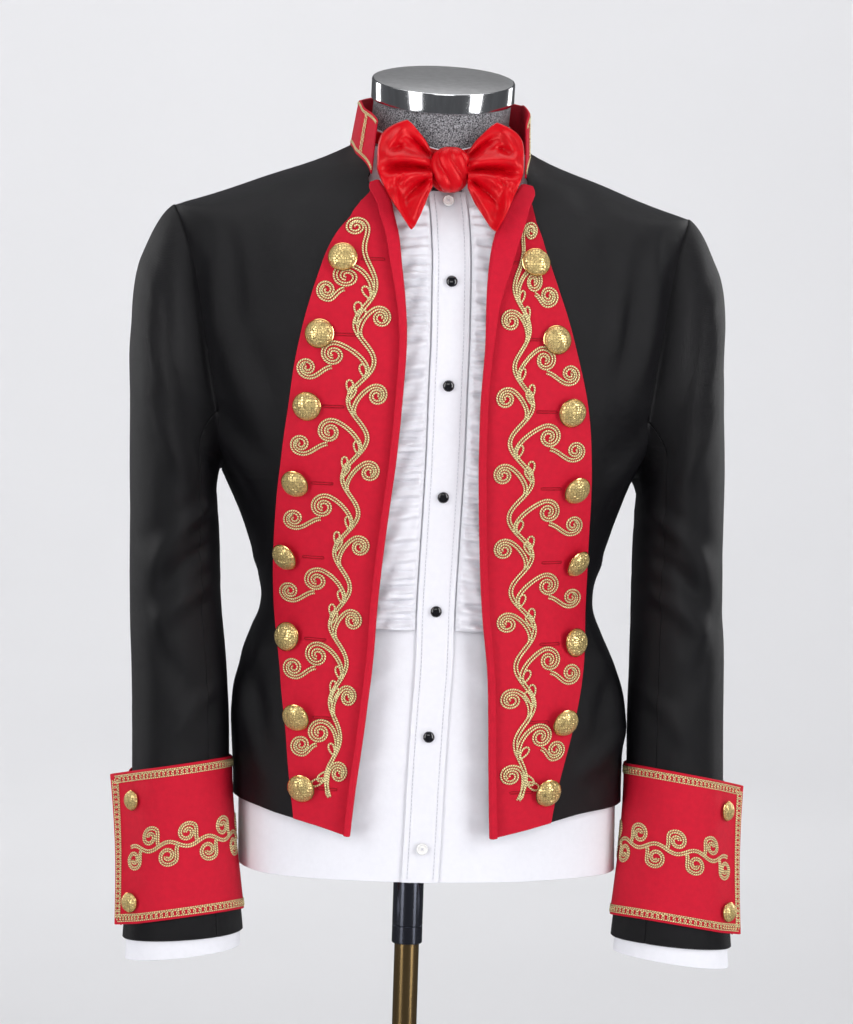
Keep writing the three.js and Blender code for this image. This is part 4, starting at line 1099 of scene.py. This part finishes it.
BOW_FOLDS = [  # as for cloth creases, on the bow's front
    (14, 1405, 60, 1410, 4.5, 4.4, -1),
    (14, 1399, 62, 1398, 2.8, -4.6, -1),
    (14, 1396, 54, 1385, 4.2, 4.0, -1),
    (16, 1409, 40, 1430, 3.0, -3.2, -1),
    (16, 1412, 32, 1432, 2.6, 2.2, -1),
    (17, 1392, 44, 1368, 2.8, -3.6, -1),
    (18, 1386, 34, 1354, 3.0, 2.8, -1),
    (46, 1434, 60, 1402, 4.5, 2.8, -1),
    (40, 1420, 56, 1414, 3.0, -2.2, -1),
    (40, 1394, 58, 1374, 3.2, -3.4, -1),
    (50, 1390, 46, 1360, 3.5, 3.0, -1),
]


def neckline(angle, out=0.0):
    sine, cosine = np.sin(np.radians(angle)), np.cos(np.radians(angle))
    x = (NECKLINE["half_width"] + out) * sine
    return x, NECKLINE["y"] - (NECKLINE["half_depth"] + out) * cosine


def shirt_plan(along):
    return neckline(180 - 180 * along, NECKLINE["opening"])


def build_shirt():
    lift = -SHIRT_WALL / 2
    front_edge, front_low, front_high = neck_edge("shirt", shirt_plan, 0.5, 1)
    heights = np.concatenate([pitch_rows(SHIRT_HEM_Z, 1376, 5), pitch_rows(1380, front_high - 1, 3)])

    def button_edge(z):
        placket = angle_at("shirt", z, PLACKET_HALF_WIDTH - 2)
        return np.where(z > front_low, np.maximum(placket, front_edge(z) + 1), placket)

    z, angle = panel("shirt", heights, np.linspace(0, 1, 36), button_edge,
                     lambda h: armhole_edge(h, -1) + 1.5 - seam_angle("shirt", h) - 3)
    below = lambda p: 1 - smoothstep(p[..., 2], 965, 990)
    net = cloth_points("shirt", z, angle, lift, SHIRT_CREASES, below)
    cloth_pair("shirt_front", net, "shirt", SHIRT_WALL, "white_cotton")
    z, angle = panel("shirt", np.concatenate([pitch_rows(SHIRT_HEM_Z, 1396, 8), [1404, 1411]]),
                     np.linspace(0, 1, 30), lambda h: armhole_edge(h, 1) + 1.5 + seam_angle("shirt", h),
                     lambda h: 180 + 0 * h)
    half = cloth_points("shirt", z, angle, lift, SHIRT_CREASES, below)
    net = np.concatenate([half, mirrored(half[:, -2::-1], -1)], axis=1)
    cloth("shirt_back", posed(net, "shirt"), SHIRT_WALL, "white_cotton")


def on_shirt(x, z, lift):
    """A point of the shirt's front, x to the side of its centre line, and the cloth's normal there."""
    x, z = paired(x, z)
    angle = angle_at("shirt", z, x)
    return raised("shirt", z, angle, lift), surface_normal("shirt", z, angle)


def stitches(x, low, high, lift, length, sign=1):
    """Paths for a row of stitches up the shirt's front."""
    paths = []
    for start in np.arange(low, high, STITCH["pitch"]):
        line, normal = on_shirt(x, start + length * np.array([0, 0.5, 1]), lift)
        paths.append((*worn(line, normal, sign, "shirt"), False))
    return paths


def build_placket():
    lift = FACING_LIFT + SHIRT_WALL / 2
    x = np.linspace(-PLACKET_HALF_WIDTH, PLACKET_HALF_WIDTH, 17)[None, :]
    z = pitch_rows(SHIRT_HEM_Z, PLACKET_TOP, 5)[:, None]
    edge = 0.35 * np.exp(-(((np.abs(x) - PLACKET_STITCH_X) / 1.2) ** 2))
    net, _ = on_shirt(x, z, lift - edge)
    cloth("shirt_placket", posed(net, "shirt"), SHIRT_WALL, "white_cotton")
    paths = []
    for x in (-PLACKET_STITCH_X, PLACKET_STITCH_X):
        paths += stitches(x, SHIRT_HEM_Z + 3, PLACKET_TOP - 3, lift + SHIRT_WALL / 2 + 0.05, 2.4)
    cord("placket_stitches", paths, STITCH["radius"], "white_thread", "white_cotton", STITCH["sides"])


def build_ruffles():
    """Each bib is a gathered strip: small tucks at its seam, that open into waves at its free edge."""
    v = np.linspace(0, 1, RUFFLE["waves"] * 16 + 1)[:, None]
    u = np.linspace(0, 1, 30)[None, :]
    z = mix(RUFFLE["low"], RUFFLE["high"], v)
    for side, sign in SIDES.items():
        phase = 0.35 * np.sin(9 * v) + 0.4 * u + (0.3 * np.sin(23 * v) * u if sign > 0 else 0.25 * u * u)
        wave = 0.5 + 0.5 * np.sin(2 * math.pi * (RUFFLE["waves"] * v + phase))
        strength = 0.75 + 0.25 * np.sin(31 * v + 2 * u + sign)
        swell = RUFFLE["swell"] * wave * strength * np.sin(math.pi * np.minimum(1, 0.12 + 0.75 * u))
        tuck_phase = RUFFLE["waves"] * 2.3 * v + 0.8 * np.sin(17 * v + sign) + 0.5 * u
        tucks = RUFFLE["tuck"] * np.sin(2 * math.pi * tuck_phase) * np.exp(-((u - 0.25) / 0.38) ** 2)
        crinkles = RUFFLE["crinkle"] * np.sin(115 * v + 9 * u + sign) * np.sin(61 * v - 7 * u)
        tucks = tucks + crinkles * smoothstep(u, 0.05, 0.2)
        curl_phase = RUFFLE["waves"] * 0.5 * v + 0.2 * sign
        curl = RUFFLE["curl"] * smoothstep(u, 0.8, 1) * np.sin(2 * math.pi * curl_phase)
        flat = smoothstep(u, 0, 0.07)
        net, _ = on_shirt(mix(RUFFLE["inner"], RUFFLE["outer"], u), z,
                          RUFFLE["lift"] + (swell + tucks + RUFFLE["stand"]) * flat + curl)
        cloth(f"shirt_ruffle_{side}", posed(mirrored(net, sign), "shirt"), RUFFLE["wall"], "white_cotton")
        paths = stitches(RUFFLE["inner"] + 1.2, RUFFLE["low"] + 2, RUFFLE["high"] - 2,
                         RUFFLE["lift"] + 0.5, 2.2, sign)
        cord(f"ruffle_stitches_{side}", paths, STITCH["radius"], "white_thread", "white_cotton",
             STITCH["sides"])


def neckband(low, high, out, rows, sides, ripple=0.0):
    angle = steps_round(sides, 360)[None, :]
    side = np.minimum(angle, 360 - angle)
    share = np.linspace(0, 1, rows)[:, None]
    x, y = neckline(angle, out + ripple * np.sin(3 * share * math.pi + angle / 9))
    return stack(x, y, mix(low(side), high(side), share))


def build_neckwear():
    def foot(side):
        return height_under("shirt", *neckline(side)) - 1.5

    band = posed(neckband(foot, NECKBAND_TOP, 0.0, 12, 96), "shirt")
    cloth("shirt_collar", band, SHIRT_WALL, "white_cotton", ring=True)
    tie = neckband(lambda a: NECKBAND_TOP(a) - 11, lambda a: NECKBAND_TOP(a) - 1, 1.8, 8, 96, 0.15)
    cloth("tie_band", posed(tie, "shirt"), SHIRT_WALL, "red_satin",
          ring=True)
    build_bow()


def bow_loop(v, u):
    """A loop of the bow: v from its low edge to its top, u from the knot out, round the fold and back."""
    t = 2 * u
    along = np.where(t < 1, t, 2 - t)
    side = 2 * v - 1
    corner = np.where(side > 0, *(cut * np.abs(side) ** power for cut, power in BOW_CORNERS))
    spread = BOW["spread"](along) * (1 - corner * along)
    tall = np.where(side > 0, BOW["top"](along) * side, -BOW["bottom"](along) * side)
    fullness = np.sin(math.pi * np.minimum(1, along * 0.5 + 0.12)) * np.sqrt(np.maximum(0, 1 - along ** 4))
    front = t < 1
    depth = np.where(front, -1, 1) * (1.6 + 4.6 * fullness * (1 - 0.8 * side * side))
    forward = BOW_SWEEP * along * along * (1 - side) / 2
    gathers = 1.5 * np.sin(12 * side + 1.3) * np.exp(-along / 0.3) * smoothstep(along, 0, 0.05)
    x, z = spread, BOW_CENTRE["z"] + tall
    y = BOW_CENTRE["y"] + depth + side * BOW_CENTRE["lean"] - forward
    folds = BOW_DRAPE * creases(stack(x, -50, z), BOW_FOLDS) + gathers
    fade = smoothstep(1 - along, 0, 0.2) * smoothstep(1 - np.abs(side), 0, 0.2)
    return stack(x, y - np.where(front, folds * (0.3 + 0.7 * fade), 0.5 * gathers), z)


def build_bow():
    net = bow_loop(np.linspace(0, 1, 60)[:, None], np.linspace(0, 1, 121)[None, :])
    cloth_pair("bow_loop", net, "shirt", BOW_WALL, "red_satin")
    turn = steps_round(96)[None, :]
    level = np.sin(np.linspace(-1, 1, 41) * math.pi / 2)[:, None]
    girth = (1 - 0.93 * np.abs(level) ** 3) ** 0.5
    winding = np.sin(3 * turn + 1.6 * level + 0.7 * np.sin(2.5 * level))
    pleats = 1 - KNOT["pleat"] * (1 - np.abs(winding)) ** 1.6
    rings = stack(KNOT["half_width"] * girth * pleats * np.cos(turn),
                  KNOT["half_depth"] * girth * pleats * np.sin(turn), KNOT["half_height"] * level)
    knot = posed(rings + np.array([0, BOW_CENTRE["y"], BOW_CENTRE["z"]]), "shirt")
    attach(loft("bow_knot_cloth", knot, FINISHES["red_satin"], 80), "red_satin", "bow_knot")


def build_shirt_cuffs():
    depth = JACKET_WALL + SHIRT_CUFF["gap"] + SHIRT_WALL / 2
    turn = steps_round(72, 360)[None, :]
    share = (1 - np.cos(np.radians(turn))) / 2
    hem = mix(SHIRT_CUFF["hem_outside"], SHIRT_CUFF["hem_inside"], share)
    net = on_sleeve(mix(hem, SHIRT_CUFF["top"], np.linspace(0, 1, 24)[:, None]), turn, -depth)
    cloth_pair("shirt_cuff", net, "shirt", SHIRT_WALL, "white_cotton",
               ring=True)


# ---- Gold trim ----

THREAD = 0.85  # radius of one thread of the couched pair
PAIR = 1.2  # how far each lies from the pair's middle line
STEP = 1.1  # between the points of a couched line
BRAID_HALF_WIDTH = 3.0
BRAID_PITCH = 4.4
BRAID_STEP = 0.7
CUFF_THREAD, CUFF_PAIR = 0.78, 1.05
CUFF_VINE = {"from": 26, "end": 21, "wave": 3, "pitch": 36, "curl": 8.8, "turns": 1.35}
VINE = {"pitch": 67.0, "low": 846.0, "high": 1330.0}
CURLS = {"outer": (10.8, 1.6), "far": (8.4, 1.45), "inner": (9.2, 1.55), "tip": (7.5, 1.5)}  # radius, turns


def left_of(direction):
    return np.stack([-direction[..., 1], direction[..., 0]], axis=-1)


def offset(line, distance):
    return line + distance * left_of(unit(np.gradient(line, axis=0)))


def resampled(line, step):
    run = running(edge_lengths(line, 0))
    at = np.linspace(0, run[-1], max(4, int(run[-1] / step) + 1))
    return np.stack([np.interp(at, run, line[:, k]) for k in range(line.shape[1])], axis=-1)


def volute(start, centre, turns, direction, inner=2.0):
    """A spiral from a point in to near a centre, direction +1 or -1."""
    start, centre = np.array(start, float), np.array(centre, float)
    radius = np.linalg.norm(start - centre)
    first = math.atan2(*(start - centre)[::-1])
    t = np.linspace(0, 1, 60)
    angle = first + direction * 2 * math.pi * turns * t
    size = mix(radius, inner, t ** 0.85)
    return centre + size[:, None] * np.stack([np.cos(angle), np.sin(angle)], axis=-1)


def tendril(start, heading, centre, radius, turns, direction):
    """A stem that leaves a point in a heading and runs smoothly into a volute."""
    start, centre = np.array(start, float), np.array(centre, float)
    toward = unit(centre - start)
    entry = centre - radius * direction * left_of(toward)
    curl = volute(entry, centre, turns, direction)
    pull = np.linalg.norm(entry - start)
    leave, arrive = unit(np.array(heading, float)) * pull, unit(curl[1] - curl[0]) * pull
    stem = hermite(np.linspace(0, 1, 24)[:, None], start, entry, leave, arrive)
    return resampled(np.concatenate([stem, curl[1:]]), STEP)


def leaf(base, heading, turn, length, width):
    """A leaf's outline. turn is the cosine and sine of its angle with the stem's heading."""
    cosine, sine = turn
    t = steps_round(26)
    along, across = length * (1 - np.cos(t)) / 2, width * np.sin(t) * np.sin(t / 2)
    ahead = unit(heading @ np.array([[cosine, sine], [-sine, cosine]]))
    return np.array(base) + along[:, None] * ahead + across[:, None] * left_of(ahead)


def vine():
    """A running vine for one plastron, in x and z: its waving stem, the volutes in its bends and leaves."""
    heights = [840, 1000, 1200, 1330]
    inner, outer = smooth_curve(heights, [74, 61, 49, 54]), smooth_curve(heights, [104, 127, 122, 90])
    pitch, low, high = VINE.values()
    z = np.arange(low, high, STEP)
    room = outer(z) - inner(z)
    stem = np.stack([inner(z) + room * (0.3 + 0.13 * np.sin(2 * math.pi * (z - low) / pitch)), z], axis=-1)
    pairs, leaves = [stem], []
    for k in range(int((high - low) / pitch * 2)):
        middle = low + pitch * (k / 2 + 0.25)
        i = int((middle - low) / STEP)
        if i >= len(stem) - 4:
            break
        point, heading = stem[i - 12], unit(stem[i - 8] - stem[i - 16])
        width = outer(middle) - inner(middle)
        if k % 2:
            centre = (inner(middle) + 0.62 * width, middle + 6)
            pairs.append(tendril(point, heading, centre, *CURLS["outer"], -1))
            if width > 40:
                far = (inner(middle) + 0.95 * width, middle - 6)
                branch = np.array(centre) + (1.5, -CURLS["outer"][0])
                pairs.append(tendril(branch, (1, -0.1), far, *CURLS["far"], 1))
            leaves.append(leaf(point, heading, (0.6, -0.8), 12, 3.4))
        else:
            centre = (inner(middle) + 0.1 * width, middle + 5)
            pairs.append(tendril(point, heading, centre, *CURLS["inner"], 1))
            leaves.append(leaf(stem[i], heading, (0.5, 0.85), 14, 3.8))
            leaves.append(leaf(stem[i + 6], heading, (0.8, 0.6), 12, 3.4))
    pairs.append(tendril(stem[-1], (0.1, 1), stem[-1] + (7, 18), *CURLS["tip"], -1))
    return pairs, leaves


def on_plastron(line, sign, lift):
    x, z = line[:, 0], line[:, 1]
    angle = angle_at("jacket", z, x)
    out = FACING_LIFT + FACING_WALL + lift
    return worn(raised("jacket", z, angle, out), surface_normal("jacket", z, angle), sign, "jacket")


def build_embroidery():
    pairs, leaves = vine()
    for side, sign in SIDES.items():
        lines = [(offset(line, shift), False) for line in pairs for shift in (-PAIR, PAIR)]
        lines += [(line, True) for line in leaves]
        paths = [(*on_plastron(line, sign, THREAD * 0.6), closed) for line, closed in lines]
        cord(f"plastron_embroidery_{side}", paths, THREAD, "gold_thread", "gold_metal")
        paths = []
        for x, z, *_ in FRONT_BUTTONS:
            turn = steps_round(28)
            line = np.stack([x - 22 + 8 * np.sign(np.cos(turn)) + np.cos(turn), z + np.sin(turn)], axis=-1)
            paths.append((*on_plastron(line, sign, 0.1), True))
        cord(f"buttonholes_{side}", paths, 0.5, "red_thread", "red_wool")


def braid(line, place):
    """Two edge cords with loops between them, along a line of the cloth's own two coordinates."""
    line = resampled(line, BRAID_STEP)
    length = BRAID_STEP * (len(line) - 1)
    paths = [(*place(offset(line, s * BRAID_HALF_WIDTH)), False) for s in (-1, 1)]
    at = np.linspace(0, length, int(length / BRAID_PITCH * 14))
    turn = 2 * math.pi * at / BRAID_PITCH
    along = np.linspace(0, length, len(line))
    centre = np.stack([np.interp(at, along, line[:, k]) for k in (0, 1)], axis=-1)
    ahead = unit(np.gradient(centre, axis=0))
    loops = centre + left_of(ahead) * (0.66 * BRAID_HALF_WIDTH * np.cos(turn))[:, None]
    loops = loops + ahead * (0.42 * BRAID_PITCH * np.sin(turn))[:, None]
    return paths + [(*place(loops), False)]


def gauntlet_places(sign):
    """Places points given in millimetres along a gauntlet and up from its lower edge."""
    steps = np.linspace(0, 1, 400)
    middle = gauntlet_point(steps, 0.5)
    run = running(edge_lengths(middle, 0))

    def height_of(round_):
        return np.linalg.norm(gauntlet_point(round_, 1.0) - gauntlet_point(round_, 0.0), axis=-1)

    def place(line):
        round_ = np.interp(line[:, 0], run, steps)
        height = line[:, 1] / height_of(round_)
        points = gauntlet_point(round_, height, FACING_WALL / 2 + 0.35)
        normal = unit(points - gauntlet_point(round_, height, 0))
        return worn(points, normal, sign, "shirt")

    return place, run[-1], lambda at: height_of(np.interp(at, run, steps))


def build_gauntlet_trim():
    inset = 2.2 + BRAID_HALF_WIDTH
    for side, sign in SIDES.items():
        place, length, tall = gauntlet_places(sign)
        s = np.linspace(4, length - inset, 120)
        flap = tall(np.array([length - inset]))[0]
        upright = np.linspace(inset, flap - inset, 60)
        paths = []
        for x, y in ((s, tall(s) - inset), (s, inset + 0 * s), (length - inset + 0 * upright, upright)):
            paths += braid(np.stack([x, y], axis=-1), place)
        cord(f"gauntlet_braid_{side}", paths, 0.5, "gold_thread", "gold_metal")
        middle = tall(np.array([length / 2]))[0] / 2 - 2
        first, last, wave, pitch, curl, turns = CUFF_VINE.values()
        x = np.arange(first, length - last, STEP)
        stem = np.stack([x, middle + wave * np.sin(2 * math.pi * (x - length) / pitch)], axis=-1)
        lines = [stem]
        for k in range(int((length - 66) / pitch * 2)):
            up = 1 if k % 2 else -1
            i = min(len(stem) - 2, int((length - pitch - pitch / 2 * k - first) / STEP))
            lines.append(tendril(stem[i], (1, 0.6 * up), stem[i] + (10, up * 9), curl, turns, -up))
        couched = [offset(line, shift) for line in lines for shift in (-CUFF_PAIR, CUFF_PAIR)]
        paths = [(*place(line), False) for line in couched]
        cord(f"gauntlet_embroidery_{side}", paths, CUFF_THREAD, "gold_thread", "gold_metal")


def build_collar_trim():
    out = FACING_WALL / 2 + 0.3
    step = np.linspace(0, 1, 160)

    def line(along, height, sign):
        normal = unit(stack(*collar_plan(along), 0.0))
        return *worn(collar_point(along, height, out), normal, sign, "jacket"), False

    paths = []
    for sign in SIDES.values():
        for share, shift in ((0, 1.4), (0, 2.8), (1, -1.2), (1, -2.5)):
            along = step * (1 - COLLAR_SLANT * share)
            paths.append(line(along, COLLAR_PLAN["height"](along) * share + shift, sign))
        height = np.linspace(2, 38, 50)
        for along in (0.872, 0.888):
            paths.append(line(along + 0.004 * np.sin(height * 2 * math.pi / 4), height, sign))
    cord("collar_braid", paths, 0.55, "gold_thread", "gold_metal")


# ---- Buttons and studs ----

BUTTON = {"radius": 12.8, "height": 9.4, "shank": 3.4}
CUFF_BUTTON = {"radius": 9, "height": 7, "shank": 2.6}
STUD = {"radius": 5.2, "height": 3.6, "shank": 2.4}
BUTTON_SEATS = (0.15, -0.3, 0, 0.8, 1.1, 1.25, 2.4, 1.3)
CUFF_BUTTON_HEIGHTS = (0.14, 0.81)
STUD_HEIGHTS = (1302, 1212, 1114, 1011, 900)
PEARL_SEATS = ((1371, 0.7), (801, 0))  # height, and how far each stands off the placket


def dome(kind, rim=0.94):
    radius, height, shank = kind["radius"], kind["height"], kind["shank"]
    arc = [math.pi / 2 * k / 12 for k in range(13)]
    start = 0.38 * height
    profile = [(0.01, 0), (shank, 0), (shank, 0.26 * height), (radius * 0.9, 0.27 * height)]
    profile += [(radius, 0.31 * height), (radius, 0.36 * height), (radius * (rim + 0.02), start + 0.2)]
    profile += [(radius * rim, start - 0.1)]
    first = len(profile)
    profile += [(max(0.05, radius * rim * math.cos(a)), start + (height - start) * math.sin(a)) for a in arc]
    return profile, first


def facing(at, outward, droop=0.0):
    tilt = Matrix.Rotation(math.radians(droop), 3, "X")
    turn = (tilt @ Vector(outward)).to_track_quat("Z", "Y")
    return Matrix.Translation(Vector(at)) @ turn.to_matrix().to_4x4()


def sew(name, kind, at, normal, base, top, droop=0.0):
    profile, first = dome(kind)
    turned(name, "dome", profile, 40, base, top, facing(at, normal, droop), 40, (first, top))


def sew_pair(name, number, kind, at, normal, seat, body, droop=0.0):
    """A gilt button on either side, its back a seat's height off the cloth."""
    for side, sign in SIDES.items():
        outward = mirrored(normal, sign)
        place = posed(mirrored(at, sign) + outward * seat, body)
        sew(f"{name}_{side}_{number}", kind, place, outward, "gold_rim", "gold_metal", droop)


def build_buttons():
    for i, (x, z, droop) in enumerate(FRONT_BUTTONS):
        angle = angle_at("jacket", z, x)
        at = raised("jacket", z, angle, FACING_LIFT + FACING_WALL)
        sew_pair("button", i + 1, BUTTON, at, surface_normal("jacket", z, angle), BUTTON_SEATS[i], "jacket",
                 droop)
    for i, height in enumerate(CUFF_BUTTON_HEIGHTS):
        at = gauntlet_point(0.885, height)
        ahead = gauntlet_point(0.905, height) - at
        normal = unit(np.array([ahead[1], -ahead[0], 0]))
        sew_pair("cuff_button", i + 1, CUFF_BUTTON, at, normal, FACING_WALL / 2 + 0.45, "shirt")
    for i, z in enumerate(STUD_HEIGHTS):
        at, normal = on_shirt(0.0, float(z), FACING_LIFT + SHIRT_WALL + 0.42)
        sew(f"stud_{i + 1}", STUD, posed(at, "shirt"), normal, "silver_rim", "jet")
    for i, (z, lift) in enumerate(PEARL_SEATS):
        at, normal = on_shirt(0.0, float(z), FACING_LIFT + SHIRT_WALL + lift + 0.3)
        build_pearl(f"shirt_button_{i + 1}", posed(at, "shirt"), normal)


def build_pearl(name, at, normal):
    """A small flat four-hole button, sewn on with crossed thread."""
    radius, height = STUD["radius"], STUD["height"]
    shank = STUD["shank"]
    profile = [(0.01, 0), (shank, 0), (shank, 0.9), (radius * 0.9, 1.1), (radius, 1.8)]
    profile += [(radius * 0.93, height - 0.5), (radius * 0.84, height - 0.3), (radius * 0.7, height - 0.6)]
    profile += [(radius * 0.62, height - 1.1), (0.01, height - 1.15)]
    place = facing(at, normal)
    turned(name, "disc", profile, 36, "pearl", "pearl", place, 40)
    paths = []
    for turn in (1, -1):
        line = [place @ Vector((1.1 * t, 1.1 * t * turn, height - 0.95)) for t in (-1, 0, 1)]
        paths.append((np.array(line), np.tile(normal, (3, 1)), False))
    cord(f"{name}_thread", paths, 0.3, "white_thread", "pearl")


# ---- Dress form and stand ----

NECK = {"radius": 61.5, "y": -5, "z": 1461, "tilt": 12, "from": 1401}
CAP = {"radius": 64, "height": 18, "bevel": 1.5}
POLE = {"radius": 11.2, "sleeve": 13.8, "bottom": 698, "insertion": 50}
BASE = {"radius": 180, "height": 14, "hub_height": 40}


def build_form():
    turn = steps_round(96, 360)
    half = np.minimum(turn, 360 - turn)
    rings = []
    for z in np.concatenate([[FORM_BOTTOM_Z, FORM_BOTTOM_Z + 0.5], pitch_rows(800, 1398, 9)]):
        angle = angle_between("form", z, 0.0, 180.0, half / 180)
        rings.append(surface("form", z, np.where(turn <= 180, angle, -angle)))
    circle = stack(NECK["radius"] * np.sin(np.radians(turn)), -NECK["radius"] * np.cos(np.radians(turn)), 0)
    for share in (0.13, 0.25, 0.4, 0.6, 0.8, 1):
        tilt = math.radians(NECK["tilt"] * share)
        height = mix(NECK["from"], NECK["z"], share)
        lowered = stack(circle[:, 0], circle[:, 1] * math.cos(tilt) + NECK["y"] * share,
                        circle[:, 1] * math.sin(tilt) + height)
        rings.append(lowered)
    attach(loft("form_torso_cover", posed(np.array(rings), "shirt"), FINISHES["form_cover"]), "form_cover",
           "form_torso")
    profile = [(0.01, 0), (CAP["radius"] - 0.6, 0), (CAP["radius"], 0.6)]
    profile += [(CAP["radius"], CAP["height"] - CAP["bevel"]), (CAP["radius"] - 0.45, CAP["height"] - 0.45)]
    profile += [(CAP["radius"] - CAP["bevel"], CAP["height"]), (0.01, CAP["height"])]
    at = posed(np.array([0, NECK["y"], NECK["z"] + SEAM_GAP], float), "shirt")
    place = Matrix.Translation(Vector(at)) @ Matrix.Rotation(math.radians(NECK["tilt"]), 4, "X")
    turned("neck_cap", "disc", profile, 128, "cap_chrome", "cap_chrome", place, 30, (5, "cap_top"))


def build_stand():
    radius, sleeve, bottom = POLE["radius"], POLE["sleeve"], POLE["bottom"]
    bore, bore_top = radius + SEAM_GAP, bottom + POLE["insertion"] + SEAM_GAP
    top = FORM_BOTTOM_Z - SEAM_GAP
    profile = [(0.01, bore_top), (bore, bore_top), (bore, bottom), (sleeve - 0.8, bottom)]
    profile += [(sleeve, bottom + 0.8), (sleeve, bottom + 16), (sleeve - 0.5, bottom + 16.6)]
    profile += [(sleeve, bottom + 17.2), (sleeve, top), (0.01, top)]
    turned("pole_sleeve", "tube", profile, 64, "pole_dark", "pole_dark")
    hub = BASE["height"] + BASE["hub_height"]
    low, high = hub + SEAM_GAP, bottom + POLE["insertion"]
    profile = [(0.01, low), (radius, low), (radius, high), (0.01, high)]
    turned("pole_tube", "rod", profile, 64, "pole_bronze", "pole_bronze")
    low, wide = BASE["height"], BASE["radius"]
    profile = [(0.01, 0), (wide - 1, 0), (wide, 1), (wide, low * 0.6), (wide * 0.985, low * 0.85)]
    profile += [(wide * 0.96, low), (32, low + 2), (26, low + 6), (sleeve + 6, hub - 12)]
    profile += [(sleeve + 3, hub - 2), (sleeve + 2, hub), (0.01, hub)]
    turned("stand_base", "disc", profile, 128, "base_chrome", "base_chrome", sharp=30)


# ---- Studio ----

CAMERA = {"azimuth": -5, "elevation": 5, "roll": 1.8, "distance": 4000, "focal_px": 4437}
CAMERA_TARGET = Vector((5.7, 0, 1091))
IMAGE_HEIGHT_PX = 1024
SENSOR = 36
WALL, CEILING = 9000, 7500
LIGHTS = [  # name, place, size in metres, watts and the height on the pole's axis that each points at
    ("key_left", (-2600, -2300, 1950), (1.3, 3.6), 62, 1150),
    ("key_right", (2700, -2300, 1950), (1.2, 3.6), 80, 1150),
    ("front_fill", (-200, -4600, 2900), (2.6, 1.2), 20, 1150),
    ("top", (0, 300, 3700), (2.5, 2.5), 32, 1200),
    ("rim_left", (-2200, 1900, 1900), (0.7, 2.4), 20, 1150),
    ("rim_right", (2200, 1900, 1900), (0.7, 2.4), 20, 1150),
]
WALL_LIGHTS = [("back", 0, 1), ("front", 0, -1), ("left", -1, 0), ("right", 1, 0)]


def build_camera():
    data = bpy.data.cameras.new("camera")
    data.sensor_fit, data.sensor_height, data.sensor_width = "VERTICAL", SENSOR, SENSOR
    data.lens = CAMERA["focal_px"] / IMAGE_HEIGHT_PX * SENSOR
    data.clip_end = 100
    camera = bpy.data.objects.new("camera", data)
    bpy.context.collection.objects.link(camera)
    azimuth, elevation = math.radians(CAMERA["azimuth"]), math.radians(CAMERA["elevation"])
    ahead = Vector((-math.sin(azimuth) * math.cos(elevation), math.cos(azimuth) * math.cos(elevation),
                    -math.sin(elevation)))
    right = Vector((math.cos(azimuth), math.sin(azimuth), 0))
    axes = Matrix((right, right.cross(ahead), -ahead)).transposed()
    axes = axes @ Matrix.Rotation(math.radians(CAMERA["roll"]), 3, "Z")
    place = (CAMERA_TARGET - ahead * CAMERA["distance"]) * MM
    camera.matrix_world = Matrix.Translation(place) @ axes.to_4x4()
    bpy.context.scene.camera = camera


def softbox(name, at, size, watts, aim):
    data = bpy.data.lights.new(name, "AREA")
    data.shape, data.size, data.size_y, data.energy = "RECTANGLE", *size, watts
    light = bpy.data.objects.new(name, data)
    light.visible_camera = False
    bpy.context.collection.objects.link(light)
    at = Vector(at) * MM
    direction = Vector(aim) * MM - at
    light.matrix_world = Matrix.Translation(at) @ direction.to_track_quat("-Z", "Y").to_matrix().to_4x4()


def build_studio():
    turn = steps_round(96)
    sweep = [math.pi / 2 * k / 16 for k in range(17)]
    rows = [(300, 0), (3000, 0)] + [(6000 + 3000 * math.sin(a), 3000 - 3000 * math.cos(a)) for a in sweep]
    rows += [(WALL, CEILING)]
    net = np.array([stack(r * np.cos(turn), r * np.sin(turn), z - 1) for r, z in rows])
    rings = np.concatenate([np.zeros((1, len(turn), 3)) + [0, 0, -1], net])
    index = np.arange(rings.shape[0] * len(turn)).reshape(rings.shape[0], -1)
    floor = new_object("studio_floor", rings.reshape(-1, 3), quads_between(index), None,
                       plain("studio_paper", (0.79, 0.79, 0.805), 0.9), 80)
    floor.visible_glossy = False
    world = bpy.data.worlds.new("studio")
    world.use_nodes = True
    world.node_tree.nodes["Background"].inputs["Color"].default_value = (0.93, 0.95, 1, 1)
    world.node_tree.nodes["Background"].inputs["Strength"].default_value = 0.1
    bpy.context.scene.world = world
    view = bpy.context.scene.view_settings
    view.view_transform, view.look = "Standard", "None"
    for name, at, size, watts, aim_z in LIGHTS:
        softbox(name, at, size, watts, (0, 0, aim_z))
    for name, x, y in WALL_LIGHTS:
        softbox(f"wall_{name}", (3800 * x, 3800 * y, 4300), (3, 1.5), 165, (WALL * x, WALL * y, 1200))


build_camera()
build_studio()
build_form()
build_stand()
build_shirt()
build_placket()
build_ruffles()
build_neckwear()
build_shirt_cuffs()
build_jacket()
build_sleeves()
build_plastrons()
build_collar()
build_gauntlets()
build_embroidery()
build_gauntlet_trim()
build_collar_trim()
build_buttons()
